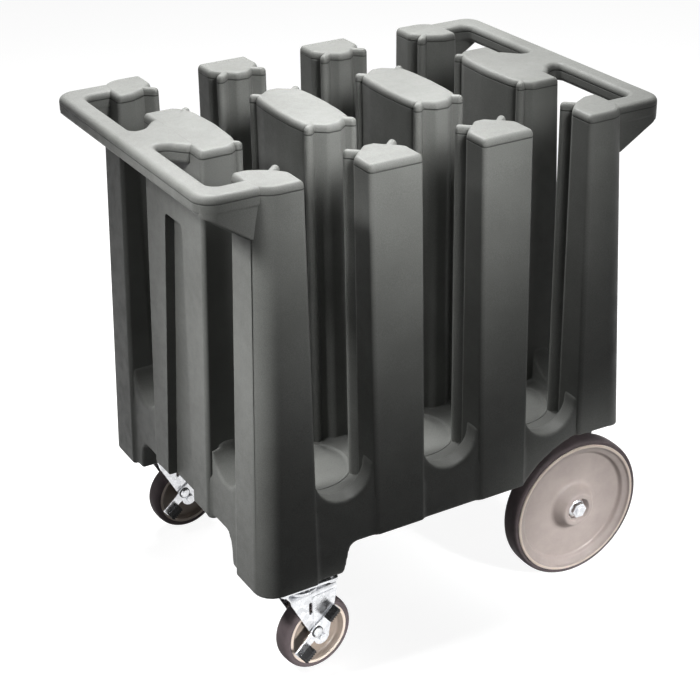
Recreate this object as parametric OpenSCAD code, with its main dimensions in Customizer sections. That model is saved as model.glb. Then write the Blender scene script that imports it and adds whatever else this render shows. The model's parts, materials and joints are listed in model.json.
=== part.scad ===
// Dish caddy: a rotomoulded tub with twelve posts round six plate wells, on two large wheels and two casters.
// Millimetres. The floor is z = 0, +X runs along the length towards the large wheels, +Z is up.

/* [Body moulding] */
// Height of the post tops above the floor
post_top = 824; // [760:2:900]
// Length of the moulding at its lower edge
base_len = 670; // [660:2:720]
// Length of the moulding at the post tops
top_len = 620; // [612:2:660]
// Width of the moulding at its lower edge
base_wid = 568; // [560:2:620]
// Width of the moulding at the post tops
top_wid = 546; // [538:2:600]
// Radius of the four upright outer corners
corner_r = 34; // [10:1:50]
// Depth by which the side panels lie behind the post faces
panel_recess = 6; // [2:0.5:10]
// Thickness of the moulded skin
skin = 6; // [4:0.5:8]
// Height of the deck that the posts stand on
deck_z = 298; // [296:1:310]
// Height of the underside between the casters and the wheels
belly_z = 228; // [222:1:236]
// Height of the low blocks over the casters
foot_z = 176; // [172:1:184]
// Length of the low blocks over the casters
foot_len = 140; // [130:1:160]
// Width of the low blocks over the casters
foot_wid = 116; // [108:1:130]

/* [Wells and posts] */
// Largest plate that a well holds
plate_d = 146; // [130:1:148]
// Gap between the largest plate and the fins
plate_gap = 1; // [0.5:0.5:3]
// Distance between wells along the length
well_pitch = 188; // [184:1:196]
// Distance between the two rows of wells
row_pitch = 286; // [282:1:300]
// Depth of the round recess in a well's floor
well_sink = 4; // [2:0.5:4]
// Width of the open slots in the long sides
side_slot = 100; // [90:1:104]
// Width of the open slots in the ends
end_slot = 90; // [84:1:96]
// Height of the centre of a slot's round lower end
slot_round_z = 354; // [350:1:362]
// Thickness of the panel under a slot
panel_t = 28; // [20:1:34]
// Distance from the centre line to the inner end of a side post
side_post_in = 193; // [190:1:198]
// Half length of a centre post
centre_post_half = 99; // [94:1:102]
// Radius of a fin's round edge
fin_r = 6.5; // [5:0.5:8]
// Length of a fin from its round edge to the post
fin_len = 26; // [24:1:30]
// Angle of a fin seen from the centre of its well
fin_angle = 44.5; // [43:0.5:47]
// Depth of the tapered groove in the end plates
groove_depth = 18; // [10:1:24]
// Width of the groove at its lower end
groove_low = 94; // [80:1:110]
// Width of the groove at its upper end
groove_high = 58; // [40:1:70]
// Height of the groove's upper end
groove_top = 690; // [600:5:740]

/* [Handles] */
// Distance from the middle of the caddy to the outer edge of a handle bar
handle_reach = 388; // [380:1:400]
// Width of a handle bar, seen from above
bar_w = 34; // [28:1:40]
// Height of a handle bar
bar_h = 30; // [24:1:34]
// Width across the handle
handle_wid = 524; // [500:2:530]
// Width of an outer arm
arm_w = 40; // [30:1:44]
// Width of the centre arm
centre_arm_w = 76; // [60:1:90]
// Depth of the gusset under an outer arm
gusset_drop = 46; // [30:1:60]

/* [Large wheels] */
// Diameter of a large wheel
wheel_d = 250; // [240:1:256]
// Width of a large wheel's tyre
tyre_w = 34; // [28:1:38]
// Thickness of a large wheel's tyre
tyre_t = 8.5; // [6:0.5:12]
// Distance from the moulding's rear end to the axle
axle_inset = 65; // [59:1:73]
// Distance from the moulding's side to a wheel's outer face
wheel_inset = 36; // [32:1:40]
// Diameter of the axle
axle_d = 16; // [12:0.5:18]
// Clearance all round between a wheel and its arch
arch_gap = 41; // [36:1:42]
// Radial clearance of a turning fit
run_gap = 0.05; // [0.02:0.01:0.1]
// Gap between pieces that pass or sit side by side
side_gap = 0.3; // [0.2:0.05:0.5]

/* [Casters] */
// Diameter of a caster wheel
caster_d = 125; // [110:1:130]
// Width of a caster wheel's tyre
caster_tyre_w = 32; // [26:1:34]
// Thickness of a caster wheel's tyre
caster_tyre_t = 10; // [8:0.5:12]
// Distance from the moulding's front end to a caster's swivel axis
stem_inset_x = 83; // [77:1:87]
// Distance from the moulding's side to a caster's swivel axis
stem_inset_y = 46; // [44:1:52]
// Distance from the swivel axis back to the caster's axle
trail = 24; // [18:1:30]
// Turn of the right caster at rest
right_yaw = 6; // [0:1:15]
// Turn of the left caster at rest
left_yaw = 2; // [0:1:15]
// Thickness of the fork's sheet
fork_t = 4; // [3:0.5:5]
// Diameter of the caster's axle bolt
bolt_d = 10; // [8:0.5:12]
// Diameter of the kingpin
kingpin_d = 12; // [10:0.5:14]
// Diameter of the balls in the swivel
ball_d = 6; // [5:0.5:7]
// Number of balls in the swivel
ball_count = 14; // [8:1:16]

/* [Brake pedals] */
// Length of a brake pedal from tip to tip
pedal_len = 98; // [80:1:110]
// Width of a brake pedal
pedal_w = 16; // [12:1:18]
// Upward tilt of the pedal at rest
pedal_tilt = 39; // [36:1:42]
// Thickness of a rubber pad
pad_t = 4; // [3:0.5:6]

/* [Hidden] */
$fn = 48;
far = 2000;
plastic = [0.33, 0.34, 0.33];
pale_plastic = [0.66, 0.61, 0.59];
rubber = [0.29, 0.27, 0.26];
bright_steel = [0.8, 0.81, 0.83];
black_rubber = [0.1, 0.1, 0.1];

// Plan of the wells and posts
well_r = plate_d / 2 + plate_gap;
row_y = row_pitch / 2;
post_x = well_pitch / 2;
post_half = (well_pitch - side_slot) / 2;
inner_edge = well_pitch + side_slot / 2;
end_slot_y = row_y + 2;
end_half = end_slot_y - end_slot / 2;
corner_in = end_slot_y + end_slot / 2;
shoulder_y = side_post_in + 35;
wall_in = top_wid / 2 - panel_t;

// Faces that lean: half the length and half the width of the moulding at a height
function half_len(z) = base_len / 2 + (top_len - base_len) / 2 * (z - foot_z) / (post_top - foot_z);
function half_wid(z) = base_wid / 2 + (top_wid - base_wid) / 2 * (z - foot_z) / (post_top - foot_z);
lean = atan((base_len - top_len) / 2 / (post_top - foot_z));

// Large wheel
wheel_r = wheel_d / 2;
wheel_out = base_wid / 2 - wheel_inset;
axle_x = base_len / 2 - axle_inset;
axle_r = axle_d / 2;
rim_r = wheel_r - tyre_t;
hub_r = 28;
hub_step = 2;
hub_in = wheel_out - tyre_w - hub_step;
hub_seat = wheel_out - hub_step;
bush_t = 4;
washer_t = 2.5;
washer_rim = 7;
washer_r = axle_r + washer_rim;
nut_h = 10;
nut_rim = 6;
nut_r = axle_r + nut_rim;
arch_r = wheel_r + arch_gap;
arch_side = 9;
arch_in = wheel_out - tyre_w - arch_side;
bracket_t = 4;
bracket_w = 54;
bracket_out = hub_in - washer_t - 2 * side_gap;
bracket_in = bracket_out - bracket_w;
bracket_half = 36;
bracket_bolt_r = 4;
bolt_depth = 20;
bolt_head_h = 5;
bolt_head_r = 7;
bracket_bolt_x = 26;
bracket_bolt_y = 16;

// Caster stack, from the body down
stem_x = base_len / 2 - stem_inset_x;
stem_y = base_wid / 2 - stem_inset_y;
caster_r = caster_d / 2;
plate_t = 4;
plate_z = foot_z - plate_t;
plate_half_x = 50;
plate_half_y = 41;
plate_bolt_r = 4;
plate_bolt_x = 40;
plate_bolt_y = 31;
race_r = 27;
upper_race_z = plate_z - 7.6;
lower_race_z = upper_race_z - ball_d - side_gap - run_gap;
ball_ring_r = 20;
crown_z = lower_race_z - 8;
crown_low = crown_z - fork_t;
kingpin_r = kingpin_d / 2;
kingpin_nut_h = 7;
bolt_r = bolt_d / 2;
fork_back = -29;
fork_front = 55;
core_w = caster_tyre_w + 4;
leg_in = core_w / 2 + 2;
leg_out = leg_in + fork_t;
core_r = caster_r - caster_tyre_t;
core_hub_r = 15;
caster_bush_t = 3;
head_h = 6;
head_r = bolt_r + 2.6;

// Brake pedal: its pivot lies up and forward of the axle, on the fork's outer leg
pivot_x = trail - 11;
pivot_z = caster_r + 16;
pedal_t = 3;
pedal_in = leg_out + 1.5;
pin_r = 4;
pad_len = 22;
shelf_w = 14;

// Outer shape of the moulding with its leaning faces, drawn in by an even inset
module envelope(inset = 0) {
    hull() {
        translate([0, 0, foot_z - 1])
            rounded_slab(2 * (half_len(foot_z - 1) - inset), 2 * (half_wid(foot_z - 1) - inset), corner_r, 0.01);
        translate([0, 0, post_top - 0.01])
            rounded_slab(top_len - 2 * inset, top_wid - 2 * inset, corner_r, 0.01);
    }
}

module rounded_slab(len, wid, r, h) {
    linear_extrude(height = h) rounded_rect(len, wid, r);
}

module rounded_rect(len, wid, r) {
    square([len - 2 * r, wid], center = true);
    square([len, wid - 2 * r], center = true);
    for (x = [-1, 1], y = [-1, 1]) translate([x * (len / 2 - r), y * (wid / 2 - r)]) circle(r, $fn = 32);
}

module box(x0, x1, y0, y1, z0, z1) {
    translate([x0, y0, z0]) cube([x1 - x0, y1 - y0, z1 - z0]);
}

// Upright fin with a round edge that points at the centre of its well
module fin(wx, wy, sx, sy) {
    translate([wx, wy]) rotate(atan2(sy * sin(fin_angle), sx * cos(fin_angle))) translate([well_r + fin_r, 0]) {
        circle(fin_r, $fn = 24);
        translate([0, -fin_r]) square([fin_len, 2 * fin_r]);
    }
}

// Plans of the four kinds of post, in the quarter where x and y are positive, with mirrored copies
module side_post_plan() {
    h = post_half;
    translate([post_x, 0]) polygon([[-h, base_wid], [-h, shoulder_y], [-h + 12, shoulder_y - 14],
        [-h + 26, shoulder_y - 26], [-10, side_post_in], [10, side_post_in], [h - 26, shoulder_y - 26],
        [h - 12, shoulder_y - 14], [h, shoulder_y], [h, base_wid]]);
}

module corner_post_plan() {
    polygon([[inner_edge, base_wid], [inner_edge, shoulder_y], [inner_edge + 12, shoulder_y - 14],
        [inner_edge + 26, shoulder_y - 26], [inner_edge + 48, corner_in], [base_len, corner_in], [base_len, base_wid]]);
}

module end_post_plan() {
    e = end_half;
    x = inner_edge;
    polygon([[base_len, e], [x + 24, e], [x + 13, e - 9], [x + 2, e - 34], [x - 2, 0],
        [x + 2, 34 - e], [x + 13, 9 - e], [x + 24, -e], [base_len, -e]]);
}

module centre_post_plan() {
    c = centre_post_half;
    h = post_half;
    translate([post_x, 0]) polygon([[h, 0], [h - 1.5, c - 54], [h - 5, c - 24], [h - 24, c - 9], [10, c],
        [-10, c], [24 - h, c - 9], [5 - h, c - 24], [1.5 - h, c - 54], [-h, 0],
        [1.5 - h, 54 - c], [5 - h, 24 - c], [24 - h, 9 - c], [-10, -c],
        [10, -c], [h - 24, 9 - c], [h - 5, 24 - c], [h - 1.5, 54 - c]]);
}

module four_plans() { for (x = [0, 1], y = [0, 1]) mirror([x, 0]) mirror([0, y]) children(); }

// A mirrored pair along the length, and one across it too
module both_ends() { for (m = [0, 1]) mirror([m, 0, 0]) children(); }
module four_corners() { both_ends() for (m = [0, 1]) mirror([0, m, 0]) children(); }

// Posts are hollow with walls that follow their leaning faces, and open into the tub below
module post_core(x0, x1, y0, y1) {
    box(x0, x1, y0, y1, foot_z, post_top - skin);
}

module post_cores() {
    wall = skin + 1;
    difference() {
        intersection() {
            envelope(wall);
            union() {
                four_corners() {
                    post_core(post_x - post_half + wall, post_x + post_half - wall, shoulder_y + 2, far);
                    post_core(post_x - 14, post_x + 14, side_post_in + 16, shoulder_y + 3);
                    post_core(inner_edge + wall, far, shoulder_y + 2, far);
                    post_core(inner_edge + 24, far, corner_in + 22, far);
                    post_core(inner_edge + 48, far, corner_in + wall, far);
                    post_core(inner_edge + 26, far, end_half - 24, end_half - wall);
                }
                both_ends() {
                    post_core(inner_edge + 16, far, 20 - end_half, end_half - 20);
                    post_core(post_x - post_half + 11, post_x + post_half - 11, 30 - centre_post_half,
                        centre_post_half - 30);
                }
            }
        }
        end_grooves(wall);
    }
}

module posts() {
    difference() {
        intersection() {
            translate([0, 0, deck_z]) linear_extrude(height = post_top - deck_z) children();
            envelope();
        }
        post_cores();
    }
}

// Tapered groove in each end plate, open at the bottom, leaning with the face. A wall round it makes it larger.
module end_grooves(wall = 0) {
    z0 = belly_z - 20;
    low = groove_low / 2 + 2 + wall;
    high = groove_high / 2 + wall;
    deep = groove_depth + wall;
    both_ends() translate([half_len(z0), 0, z0]) rotate([0, -lean, 0]) translate([-deep, 0, 0])
        rotate([90, 0, 90]) linear_extrude(height = 2 * deep)
            polygon([[-low, -far / 10], [low, -far / 10], [low, 0], [high, groove_top + wall - z0],
                [-high, groove_top + wall - z0], [-low, 0]]);
}

module corner_posts() {
    color(plastic) posts() four_plans() corner_post_plan();
}

module side_posts() {
    color(plastic) posts() four_plans() side_post_plan();
}

module end_posts() {
    color(plastic) difference() {
        posts() for (x = [0, 1]) mirror([x, 0]) end_post_plan();
        end_grooves();
    }
}

module centre_posts() {
    color(plastic) posts() for (x = [0, 1]) mirror([x, 0]) centre_post_plan();
}

// The fins stand on the posts' inner faces, four round each well
module well_fins() {
    color(plastic) translate([0, 0, deck_z]) linear_extrude(height = post_top - deck_z) difference() {
        for (wx = [-1:1], wy = [-1, 1], sx = [-1, 1], sy = [-1, 1]) fin(wx * well_pitch, wy * row_y, sx, sy);
        four_plans() {
            corner_post_plan();
            side_post_plan();
            end_post_plan();
            centre_post_plan();
        }
    }
}

// Lower tub: deck, side panels with round-bottomed slots, low blocks over the casters and arches over the wheels
module base_tub() {
    color(plastic) difference() {
        union() {
            intersection() {
                envelope(panel_recess);
                union() {
                    box(-far, far, -far, far, foot_z, deck_z);
                    slot_panels();
                }
            }
            intersection() {
                envelope();
                post_feet();
            }
        }
        slot_rounds();
        for (x = [-1:1], y = [-1, 1]) translate([x * well_pitch, y * row_y, deck_z - well_sink])
            cylinder(r = well_r - 1, h = far);
        side_underside();
        front_underside();
        end_grooves();
        wheel_arches();
        tub_hollow();
        difference() {
            intersection() {
                post_cores();
                box(-far, far, -far, far, belly_z + skin, far);
            }
            wheel_arches(skin + 1);
        }
        caster_bolt_places() translate([0, 0, foot_z - 1])
            cylinder(r = plate_bolt_r + run_gap, h = bolt_depth + 2, $fn = 24);
        bracket_bolt_places() translate([0, 0, belly_z - 1])
            cylinder(r = bracket_bolt_r + run_gap, h = bolt_depth + 2, $fn = 24);
    }
}

// Space round the large wheels. A wall round it makes it larger.
module wheel_arches(wall = 0) {
    both_sides() along_y(axle_x, arch_in - wall, wheel_r) cylinder(r = arch_r + wall, h = far, $fn = 96);
}

// Panels below the slots, between the posts
module slot_panels() {
    for (x = [-1:1], y = [0, 1]) mirror([0, y, 0])
        box(x * well_pitch - side_slot / 2, x * well_pitch + side_slot / 2, wall_in, far, foot_z, slot_round_z);
    both_ends() for (y = [0, 1]) mirror([0, y, 0])
        box(top_len / 2 - panel_t, far, end_half, corner_in, foot_z, slot_round_z);
}

module slot_rounds() {
    for (x = [-1:1], y = [0, 1]) mirror([0, y, 0]) translate([x * well_pitch, wall_in - 1, slot_round_z])
        rotate([-90, 0, 0]) cylinder(r = side_slot / 2 - 1.5, h = far, $fn = 64);
    both_ends() for (y = [-1, 1]) translate([top_len / 2 - panel_t - 1, y * end_slot_y, slot_round_z])
        rotate([0, 90, 0]) cylinder(r = end_slot / 2 - 1.5, h = far, $fn = 64);
}

// The post faces run on down to the lower edge of the tub
module post_feet() {
    for (x = [-1, 1])
        box(x * post_x - post_half, x * post_x + post_half, -far, far, foot_z, deck_z);
    both_ends() {
        box(inner_edge, far, corner_in, far, foot_z, deck_z);
        box(inner_edge, far, -far, -corner_in, foot_z, deck_z);
        box(inner_edge, far, -end_half, end_half, foot_z, deck_z);
    }
}

// Cuts away what lies under the belly behind the low blocks, with a ramp up from them
module side_underside() {
    x0 = foot_len - base_len / 2;
    rotate([90, 0, 0]) linear_extrude(height = 2 * far, center = true)
        polygon([[far, foot_z - 20], [far, belly_z], [x0 + 24, belly_z], [x0 + 14, belly_z - 6], [x0 + 5, foot_z + 9],
            [x0, foot_z], [x0, foot_z - 20]]);
}

// Arch between the low blocks at the front
module front_underside() {
    y0 = base_wid / 2 - foot_wid;
    g = groove_low / 2;
    rotate([90, 0, 90]) linear_extrude(height = 2 * far, center = true)
        polygon([[y0, foot_z - 20], [y0, foot_z + 8], [y0 - 4, belly_z - 8], [y0 - 16, belly_z + 3],
            [end_half + 6, belly_z + 3], [end_half + 2, belly_z - 4], [g, belly_z], [-g, belly_z],
            [-end_half - 2, belly_z - 4], [-end_half - 6, belly_z + 3],
            [16 - y0, belly_z + 3], [4 - y0, belly_z - 8], [-y0, foot_z + 8], [-y0, foot_z - 20]]);
    both_ends() box(half_len(belly_z) - groove_depth - 10, far, -g, g, 0, belly_z + 14);
}

// The tub is hollow too: between the arches, beside them, and in the low blocks above their bolts
module tub_hollow() {
    wall = skin + 2;
    x = half_len(deck_z) - panel_recess - wall;
    y = half_wid(deck_z) - panel_recess - wall;
    z0 = belly_z + wall + 3;
    z1 = deck_z - well_sink - skin;
    box(groove_depth - x, x - groove_depth, wall - arch_in, arch_in - wall, z0, z1);
    box(groove_depth - x, axle_x - arch_r - wall, -y, y, z0, z1);
    for (s = [0, 1]) mirror([0, s, 0])
        box(-x, foot_len - base_len / 2 - wall, base_wid / 2 - foot_wid + 2 * wall, y, foot_z + bolt_depth + wall, z1);
}

// Handle frame: a bar across the end, two outer arms, a centre arm and a gusset under each outer arm
module handle() {
    w = handle_wid / 2;
    hand_r = 16;
    color(plastic) difference() {
        union() {
            translate([0, 0, post_top - bar_h]) linear_extrude(height = bar_h) difference() {
                intersection() {
                    rounded_rect(2 * handle_reach, handle_wid, 30);
                    translate([half_len(post_top) - 12, -w]) square([far, 2 * w]);
                }
                for (s = [-1, 1]) hand_hole(s, w, hand_r);
            }
            for (s = [-1, 1]) translate([0, s * (w - arm_w / 2 - 1), 0]) rotate([90, 0, 0])
                linear_extrude(height = arm_w - 10, center = true)
                    polygon([[handle_reach - 6, post_top - bar_h], [half_len(post_top) - 10, post_top - bar_h],
                        [half_len(post_top) - 10, post_top - bar_h - gusset_drop],
                        [half_len(post_top) + 3, post_top - bar_h - gusset_drop]]);
        }
        envelope();
    }
}

module hand_hole(s, w, r) {
    y0 = centre_arm_w / 2;
    y1 = w - arm_w;
    x1 = handle_reach - bar_w;
    translate([x1 - 60, s > 0 ? y0 : -y1]) square([60 - r, y1 - y0]);
    translate([x1 - 60, (s > 0 ? y0 : -y1) + r]) square([60, y1 - y0 - 2 * r]);
    for (y = [y0 + r, y1 - r]) translate([x1 - r, s * y]) circle(r, $fn = 32);
}

module front_handle() { mirror([1, 0, 0]) handle(); }
module rear_handle() { handle(); }

// Axle, its brackets under the belly, and the washers and nuts that hold the wheels
module along_y(x, y, z) { translate([x, y, z]) rotate([-90, 0, 0]) children(); }
module both_sides() { for (m = [0, 1]) mirror([0, m, 0]) children(); }

module rear_axle() {
    end = hub_seat + washer_t + nut_h + side_gap + 2;
    color(bright_steel) along_y(axle_x, -end, wheel_r) cylinder(r = axle_r, h = 2 * end);
}

module axle_brackets() {
    color(bright_steel) both_sides() difference() {
        union() {
            box(axle_x - bracket_half, axle_x + bracket_half, bracket_in, bracket_out, belly_z - bracket_t, belly_z);
            for (y = [bracket_in, bracket_out - bracket_t]) bracket_cheek(y);
        }
        along_y(axle_x, bracket_in - 1, wheel_r) cylinder(r = axle_r + run_gap, h = bracket_w + 2);
        translate([axle_x, (bracket_in + bracket_out) / 2, belly_z - bracket_t - 1]) for (x = [-1, 1], y = [-1, 1])
            translate([x * bracket_bolt_x, y * bracket_bolt_y, 0]) cylinder(r = bracket_bolt_r + run_gap, h = 10, $fn = 24);
    }
}

module bracket_cheek(y) {
    tip = axle_r + 10;
    translate([0, y + bracket_t, 0]) rotate([90, 0, 0]) linear_extrude(height = bracket_t) {
        translate([axle_x, wheel_r]) circle(tip);
        polygon([[axle_x - tip, wheel_r], [axle_x + tip, wheel_r],
            [axle_x + bracket_half, belly_z], [axle_x - bracket_half, belly_z]]);
    }
}

module bracket_bolt_places() {
    both_sides() for (x = [-1, 1], y = [-1, 1])
        translate([axle_x + x * bracket_bolt_x, (bracket_in + bracket_out) / 2 + y * bracket_bolt_y, 0]) children();
}

module bracket_bolts() {
    color(bright_steel) bracket_bolt_places() {
        translate([0, 0, belly_z - bracket_t]) cylinder(r = bracket_bolt_r, h = bracket_t + bolt_depth, $fn = 24);
        translate([0, 0, belly_z - bracket_t - bolt_head_h]) cylinder(r = bolt_head_r, h = bolt_head_h, $fn = 6);
    }
}

module axle_washers() {
    color(bright_steel) both_sides() for (y = [bracket_out + side_gap / 2, hub_seat + side_gap])
        along_y(axle_x, y, wheel_r) difference() {
            cylinder(r = washer_r, h = washer_t);
            translate([0, 0, -1]) cylinder(r = axle_r + run_gap, h = washer_t + 2);
        }
}

module axle_nuts() {
    color(bright_steel) both_sides() along_y(axle_x, hub_seat + side_gap + washer_t, wheel_r) difference() {
        cylinder(r = nut_r, h = nut_h, $fn = 6);
        translate([0, 0, -1]) cylinder(r = axle_r + run_gap, h = nut_h + 2);
    }
}

// A large wheel turns about its axle: dished disc with a rim lip and a hub, bush inside, tyre outside
module wheel_place(s) { mirror([0, s < 0 ? 1 : 0, 0]) along_y(axle_x, 0, wheel_r) children(); }

module wheel_disc(s) {
    o = wheel_out;
    i = wheel_out - tyre_w;
    bore = axle_r + bush_t;
    color(pale_plastic) wheel_place(s) rotate_extrude($fn = 96)
        polygon([[bore, hub_in], [hub_r, hub_in], [hub_r + 4, i + 8], [rim_r - 16, i + 12], [rim_r - 9, i + 1],
            [rim_r, i + 1], [rim_r, o - 1], [rim_r - 1.5, o + 1], [rim_r - 6, o + 1], [rim_r - 8, o - 1],
            [rim_r - 12, o - 7], [rim_r - 20, o - 10], [hub_r + 12, o - 10], [hub_r + 3, o - 6], [hub_r - 2, o + 6],
            [hub_r - 6, o + 8], [washer_r + 3, o + 8], [washer_r + 2, hub_seat], [bore, hub_seat]]);
}

module wheel_tyre(s) {
    o = wheel_out;
    i = wheel_out - tyre_w;
    e = 3;
    color(rubber) wheel_place(s) rotate_extrude($fn = 96)
        polygon([[rim_r, i + 1], [wheel_r - e, i], [wheel_r - 0.8, i + e], [wheel_r, i + 3 * e], [wheel_r, o - 3 * e],
            [wheel_r - 0.8, o - e], [wheel_r - e, o], [rim_r, o - 1]]);
}

module wheel_bush(s) {
    color(black_rubber) wheel_place(s) translate([0, 0, hub_in]) difference() {
        cylinder(r = axle_r + bush_t, h = hub_seat - hub_in);
        translate([0, 0, -1]) cylinder(r = axle_r + run_gap, h = hub_seat - hub_in + 2);
    }
}

module right_wheel_disc() { wheel_disc(-1); }
module left_wheel_disc() { wheel_disc(1); }
module right_wheel_tyre() { wheel_tyre(-1); }
module left_wheel_tyre() { wheel_tyre(1); }
module right_wheel_bush() { wheel_bush(-1); }
module left_wheel_bush() { wheel_bush(1); }

// A caster's fixed part sits square to the body, and its turning part is set at its yaw
module caster_fixed(s) { translate([-stem_x, s * stem_y, 0]) children(); }
module caster_turned(s) { caster_fixed(s) rotate(s < 0 ? right_yaw : left_yaw) children(); }
module caster_hub(s) { caster_turned(s) along_y(trail, 0, caster_r) children(); }

module caster_bolt_places() {
    for (s = [-1, 1]) caster_fixed(s) for (x = [-1, 1], y = [-1, 1])
        translate([x * plate_bolt_x, y * plate_bolt_y, 0]) children();
}

module caster_plate(s) {
    color(bright_steel) caster_fixed(s) translate([0, 0, plate_z]) difference() {
        rounded_slab(2 * plate_half_x, 2 * plate_half_y, 8, plate_t);
        translate([0, 0, -1]) cylinder(r = kingpin_r + run_gap, h = 10);
        for (x = [-1, 1], y = [-1, 1]) translate([x * plate_bolt_x, y * plate_bolt_y, -1])
            cylinder(r = plate_bolt_r + run_gap, h = 10, $fn = 24);
    }
}

module caster_bolts() {
    color(bright_steel) caster_bolt_places() {
        translate([0, 0, plate_z]) cylinder(r = plate_bolt_r, h = plate_t + bolt_depth, $fn = 24);
        translate([0, 0, plate_z - bolt_head_h]) cylinder(r = bolt_head_r, h = bolt_head_h, $fn = 6);
    }
}

module race(z, h) {
    translate([0, 0, z]) difference() {
        cylinder(r = race_r, h = h);
        translate([0, 0, -1]) cylinder(r = kingpin_r + run_gap, h = h + 2);
    }
}

module upper_race(s) { color(bright_steel) caster_fixed(s) race(upper_race_z, plate_z - upper_race_z); }
module lower_race(s) { color(bright_steel) caster_turned(s) race(crown_z, lower_race_z - crown_z); }

module swivel_balls(s) {
    color(bright_steel) caster_turned(s) for (i = [0:ball_count - 1]) rotate(i * 360 / ball_count)
        translate([ball_ring_r, 0, lower_race_z + ball_d / 2 + run_gap]) sphere(d = ball_d, $fn = 24);
}

module kingpin(s) {
    z0 = crown_low - kingpin_nut_h - 3;
    color(bright_steel) caster_turned(s) translate([0, 0, z0]) cylinder(r = kingpin_r, h = plate_z + plate_t - side_gap - z0);
}

module kingpin_nut(s) {
    color(bright_steel) caster_turned(s) translate([0, 0, crown_low - kingpin_nut_h]) difference() {
        cylinder(r = kingpin_r + 4.5, h = kingpin_nut_h, $fn = 6);
        translate([0, 0, -1]) cylinder(r = kingpin_r + run_gap, h = kingpin_nut_h + 2);
    }
}

// Fork: a round crown and two legs that taper to the axle, bent from one sheet
module fork(s) {
    color(bright_steel) caster_turned(s) difference() {
        union() {
            translate([0, 0, crown_low]) cylinder(r = leg_out + 6, h = fork_t);
            box(fork_back, fork_front, -leg_out, leg_out, crown_low, crown_z);
            for (y = [-leg_out, leg_in]) fork_leg(y);
        }
        translate([0, 0, crown_low - 1]) cylinder(r = kingpin_r + run_gap, h = 10);
        along_y(trail, -leg_out - 1, caster_r) cylinder(r = bolt_r + run_gap, h = 2 * leg_out + 2);
        along_y(pivot_x, -leg_out - 1, pivot_z) cylinder(r = pin_r + run_gap, h = fork_t + 2, $fn = 32);
        along_y(pivot_x - 8, -leg_out - 1, crown_low - 22) leg_slot(8, 3);
    }
}

// Upright slot in the fork's outer leg, above the brake pedal
module leg_slot(half, r) {
    for (s = [-1, 1]) translate([0, s * half, 0]) cylinder(r = r, h = fork_t + 2, $fn = 24);
    translate([-r, -half, 0]) cube([2 * r, 2 * half, fork_t + 2]);
}

module fork_leg(y) {
    tip = bolt_r + 9;
    translate([0, y + fork_t, 0]) rotate([90, 0, 0]) linear_extrude(height = fork_t) {
        translate([trail, caster_r]) circle(tip);
        polygon([[fork_back, crown_z], [fork_back + 3, crown_z - 14], [trail - tip, caster_r],
            [trail + tip, caster_r], [fork_front - 1, crown_z - 14], [fork_front, crown_z]]);
    }
}

module caster_axle(s) {
    end = leg_out + head_h + 2;
    color(bright_steel) caster_hub(s) {
        translate([0, 0, -leg_out]) cylinder(r = bolt_r, h = leg_out + end);
        translate([0, 0, -leg_out - head_h]) cylinder(r = head_r, h = head_h, $fn = 6);
    }
}

module caster_nut(s) {
    color(bright_steel) caster_hub(s) translate([0, 0, leg_out]) difference() {
        cylinder(r = head_r + 1, h = head_h, $fn = 6);
        translate([0, 0, -1]) cylinder(r = bolt_r + run_gap, h = head_h + 2);
    }
}

module caster_spacers(s) {
    color(bright_steel) caster_hub(s) for (m = [0, 1]) mirror([0, 0, m]) translate([0, 0, core_w / 2 + side_gap])
        difference() {
            cylinder(r = bolt_r + 4, h = leg_in - core_w / 2 - side_gap);
            translate([0, 0, -1]) cylinder(r = bolt_r + run_gap, h = leg_in - core_w / 2 + 2);
        }
}

module caster_core(s) {
    w = core_w / 2;
    t = caster_tyre_w / 2;
    bore = bolt_r + caster_bush_t;
    color([0.45, 0.41, 0.37]) caster_hub(s) rotate_extrude($fn = 72)
        polygon([[bore, -w], [core_hub_r, -w], [core_hub_r + 3, -t + 7], [core_r - 9, -t + 9], [core_r - 5, -t],
            [core_r, -t], [core_r, t], [core_r - 5, t], [core_r - 9, t - 9], [core_hub_r + 3, t - 7],
            [core_hub_r, w], [bore, w]]);
}

module caster_tyre(s) {
    t = caster_tyre_w / 2;
    color(rubber) caster_hub(s) rotate_extrude($fn = 72)
        polygon([[core_r, -t], [caster_r - 5, -t], [caster_r - 1.2, -t + 4], [caster_r, -t + 10], [caster_r, t - 10],
            [caster_r - 1.2, t - 4], [caster_r - 5, t], [core_r, t]]);
}

module caster_bush(s) {
    color(black_rubber) caster_hub(s) translate([0, 0, -core_w / 2]) difference() {
        cylinder(r = bolt_r + caster_bush_t, h = core_w);
        translate([0, 0, -1]) cylinder(r = bolt_r + run_gap, h = core_w + 2);
    }
}

// Brake pedal: a rocker on the outer leg, with a rubber pad on each end
module pedal_place(s) {
    caster_turned(s) translate([pivot_x, -pedal_in, pivot_z]) rotate([0, -pedal_tilt, 0]) children();
}

module pedal_pin(s) {
    color(bright_steel) caster_turned(s) along_y(pivot_x, -pedal_in - pedal_t - 4, pivot_z) {
        cylinder(r = pin_r, h = pedal_t + 4 + pedal_in - leg_in, $fn = 32);
        cylinder(r = pin_r + 3, h = 4 - side_gap, $fn = 32);
    }
}

module brake_pedal(s) {
    h = pedal_len / 2;
    w = pedal_w / 2;
    color(bright_steel) pedal_place(s) rotate([90, 0, 0]) difference() {
        union() {
            linear_extrude(height = pedal_t) {
                square([pedal_len - 2 * w, pedal_w], center = true);
                for (x = [-1, 1]) translate([x * (h - w), 0]) circle(w, $fn = 32);
            }
            for (x = [-1, 1]) pedal_shelf(x, h, w);
        }
        translate([0, 0, -1]) cylinder(r = pin_r + run_gap, h = pedal_t + 2, $fn = 32);
    }
}

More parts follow.
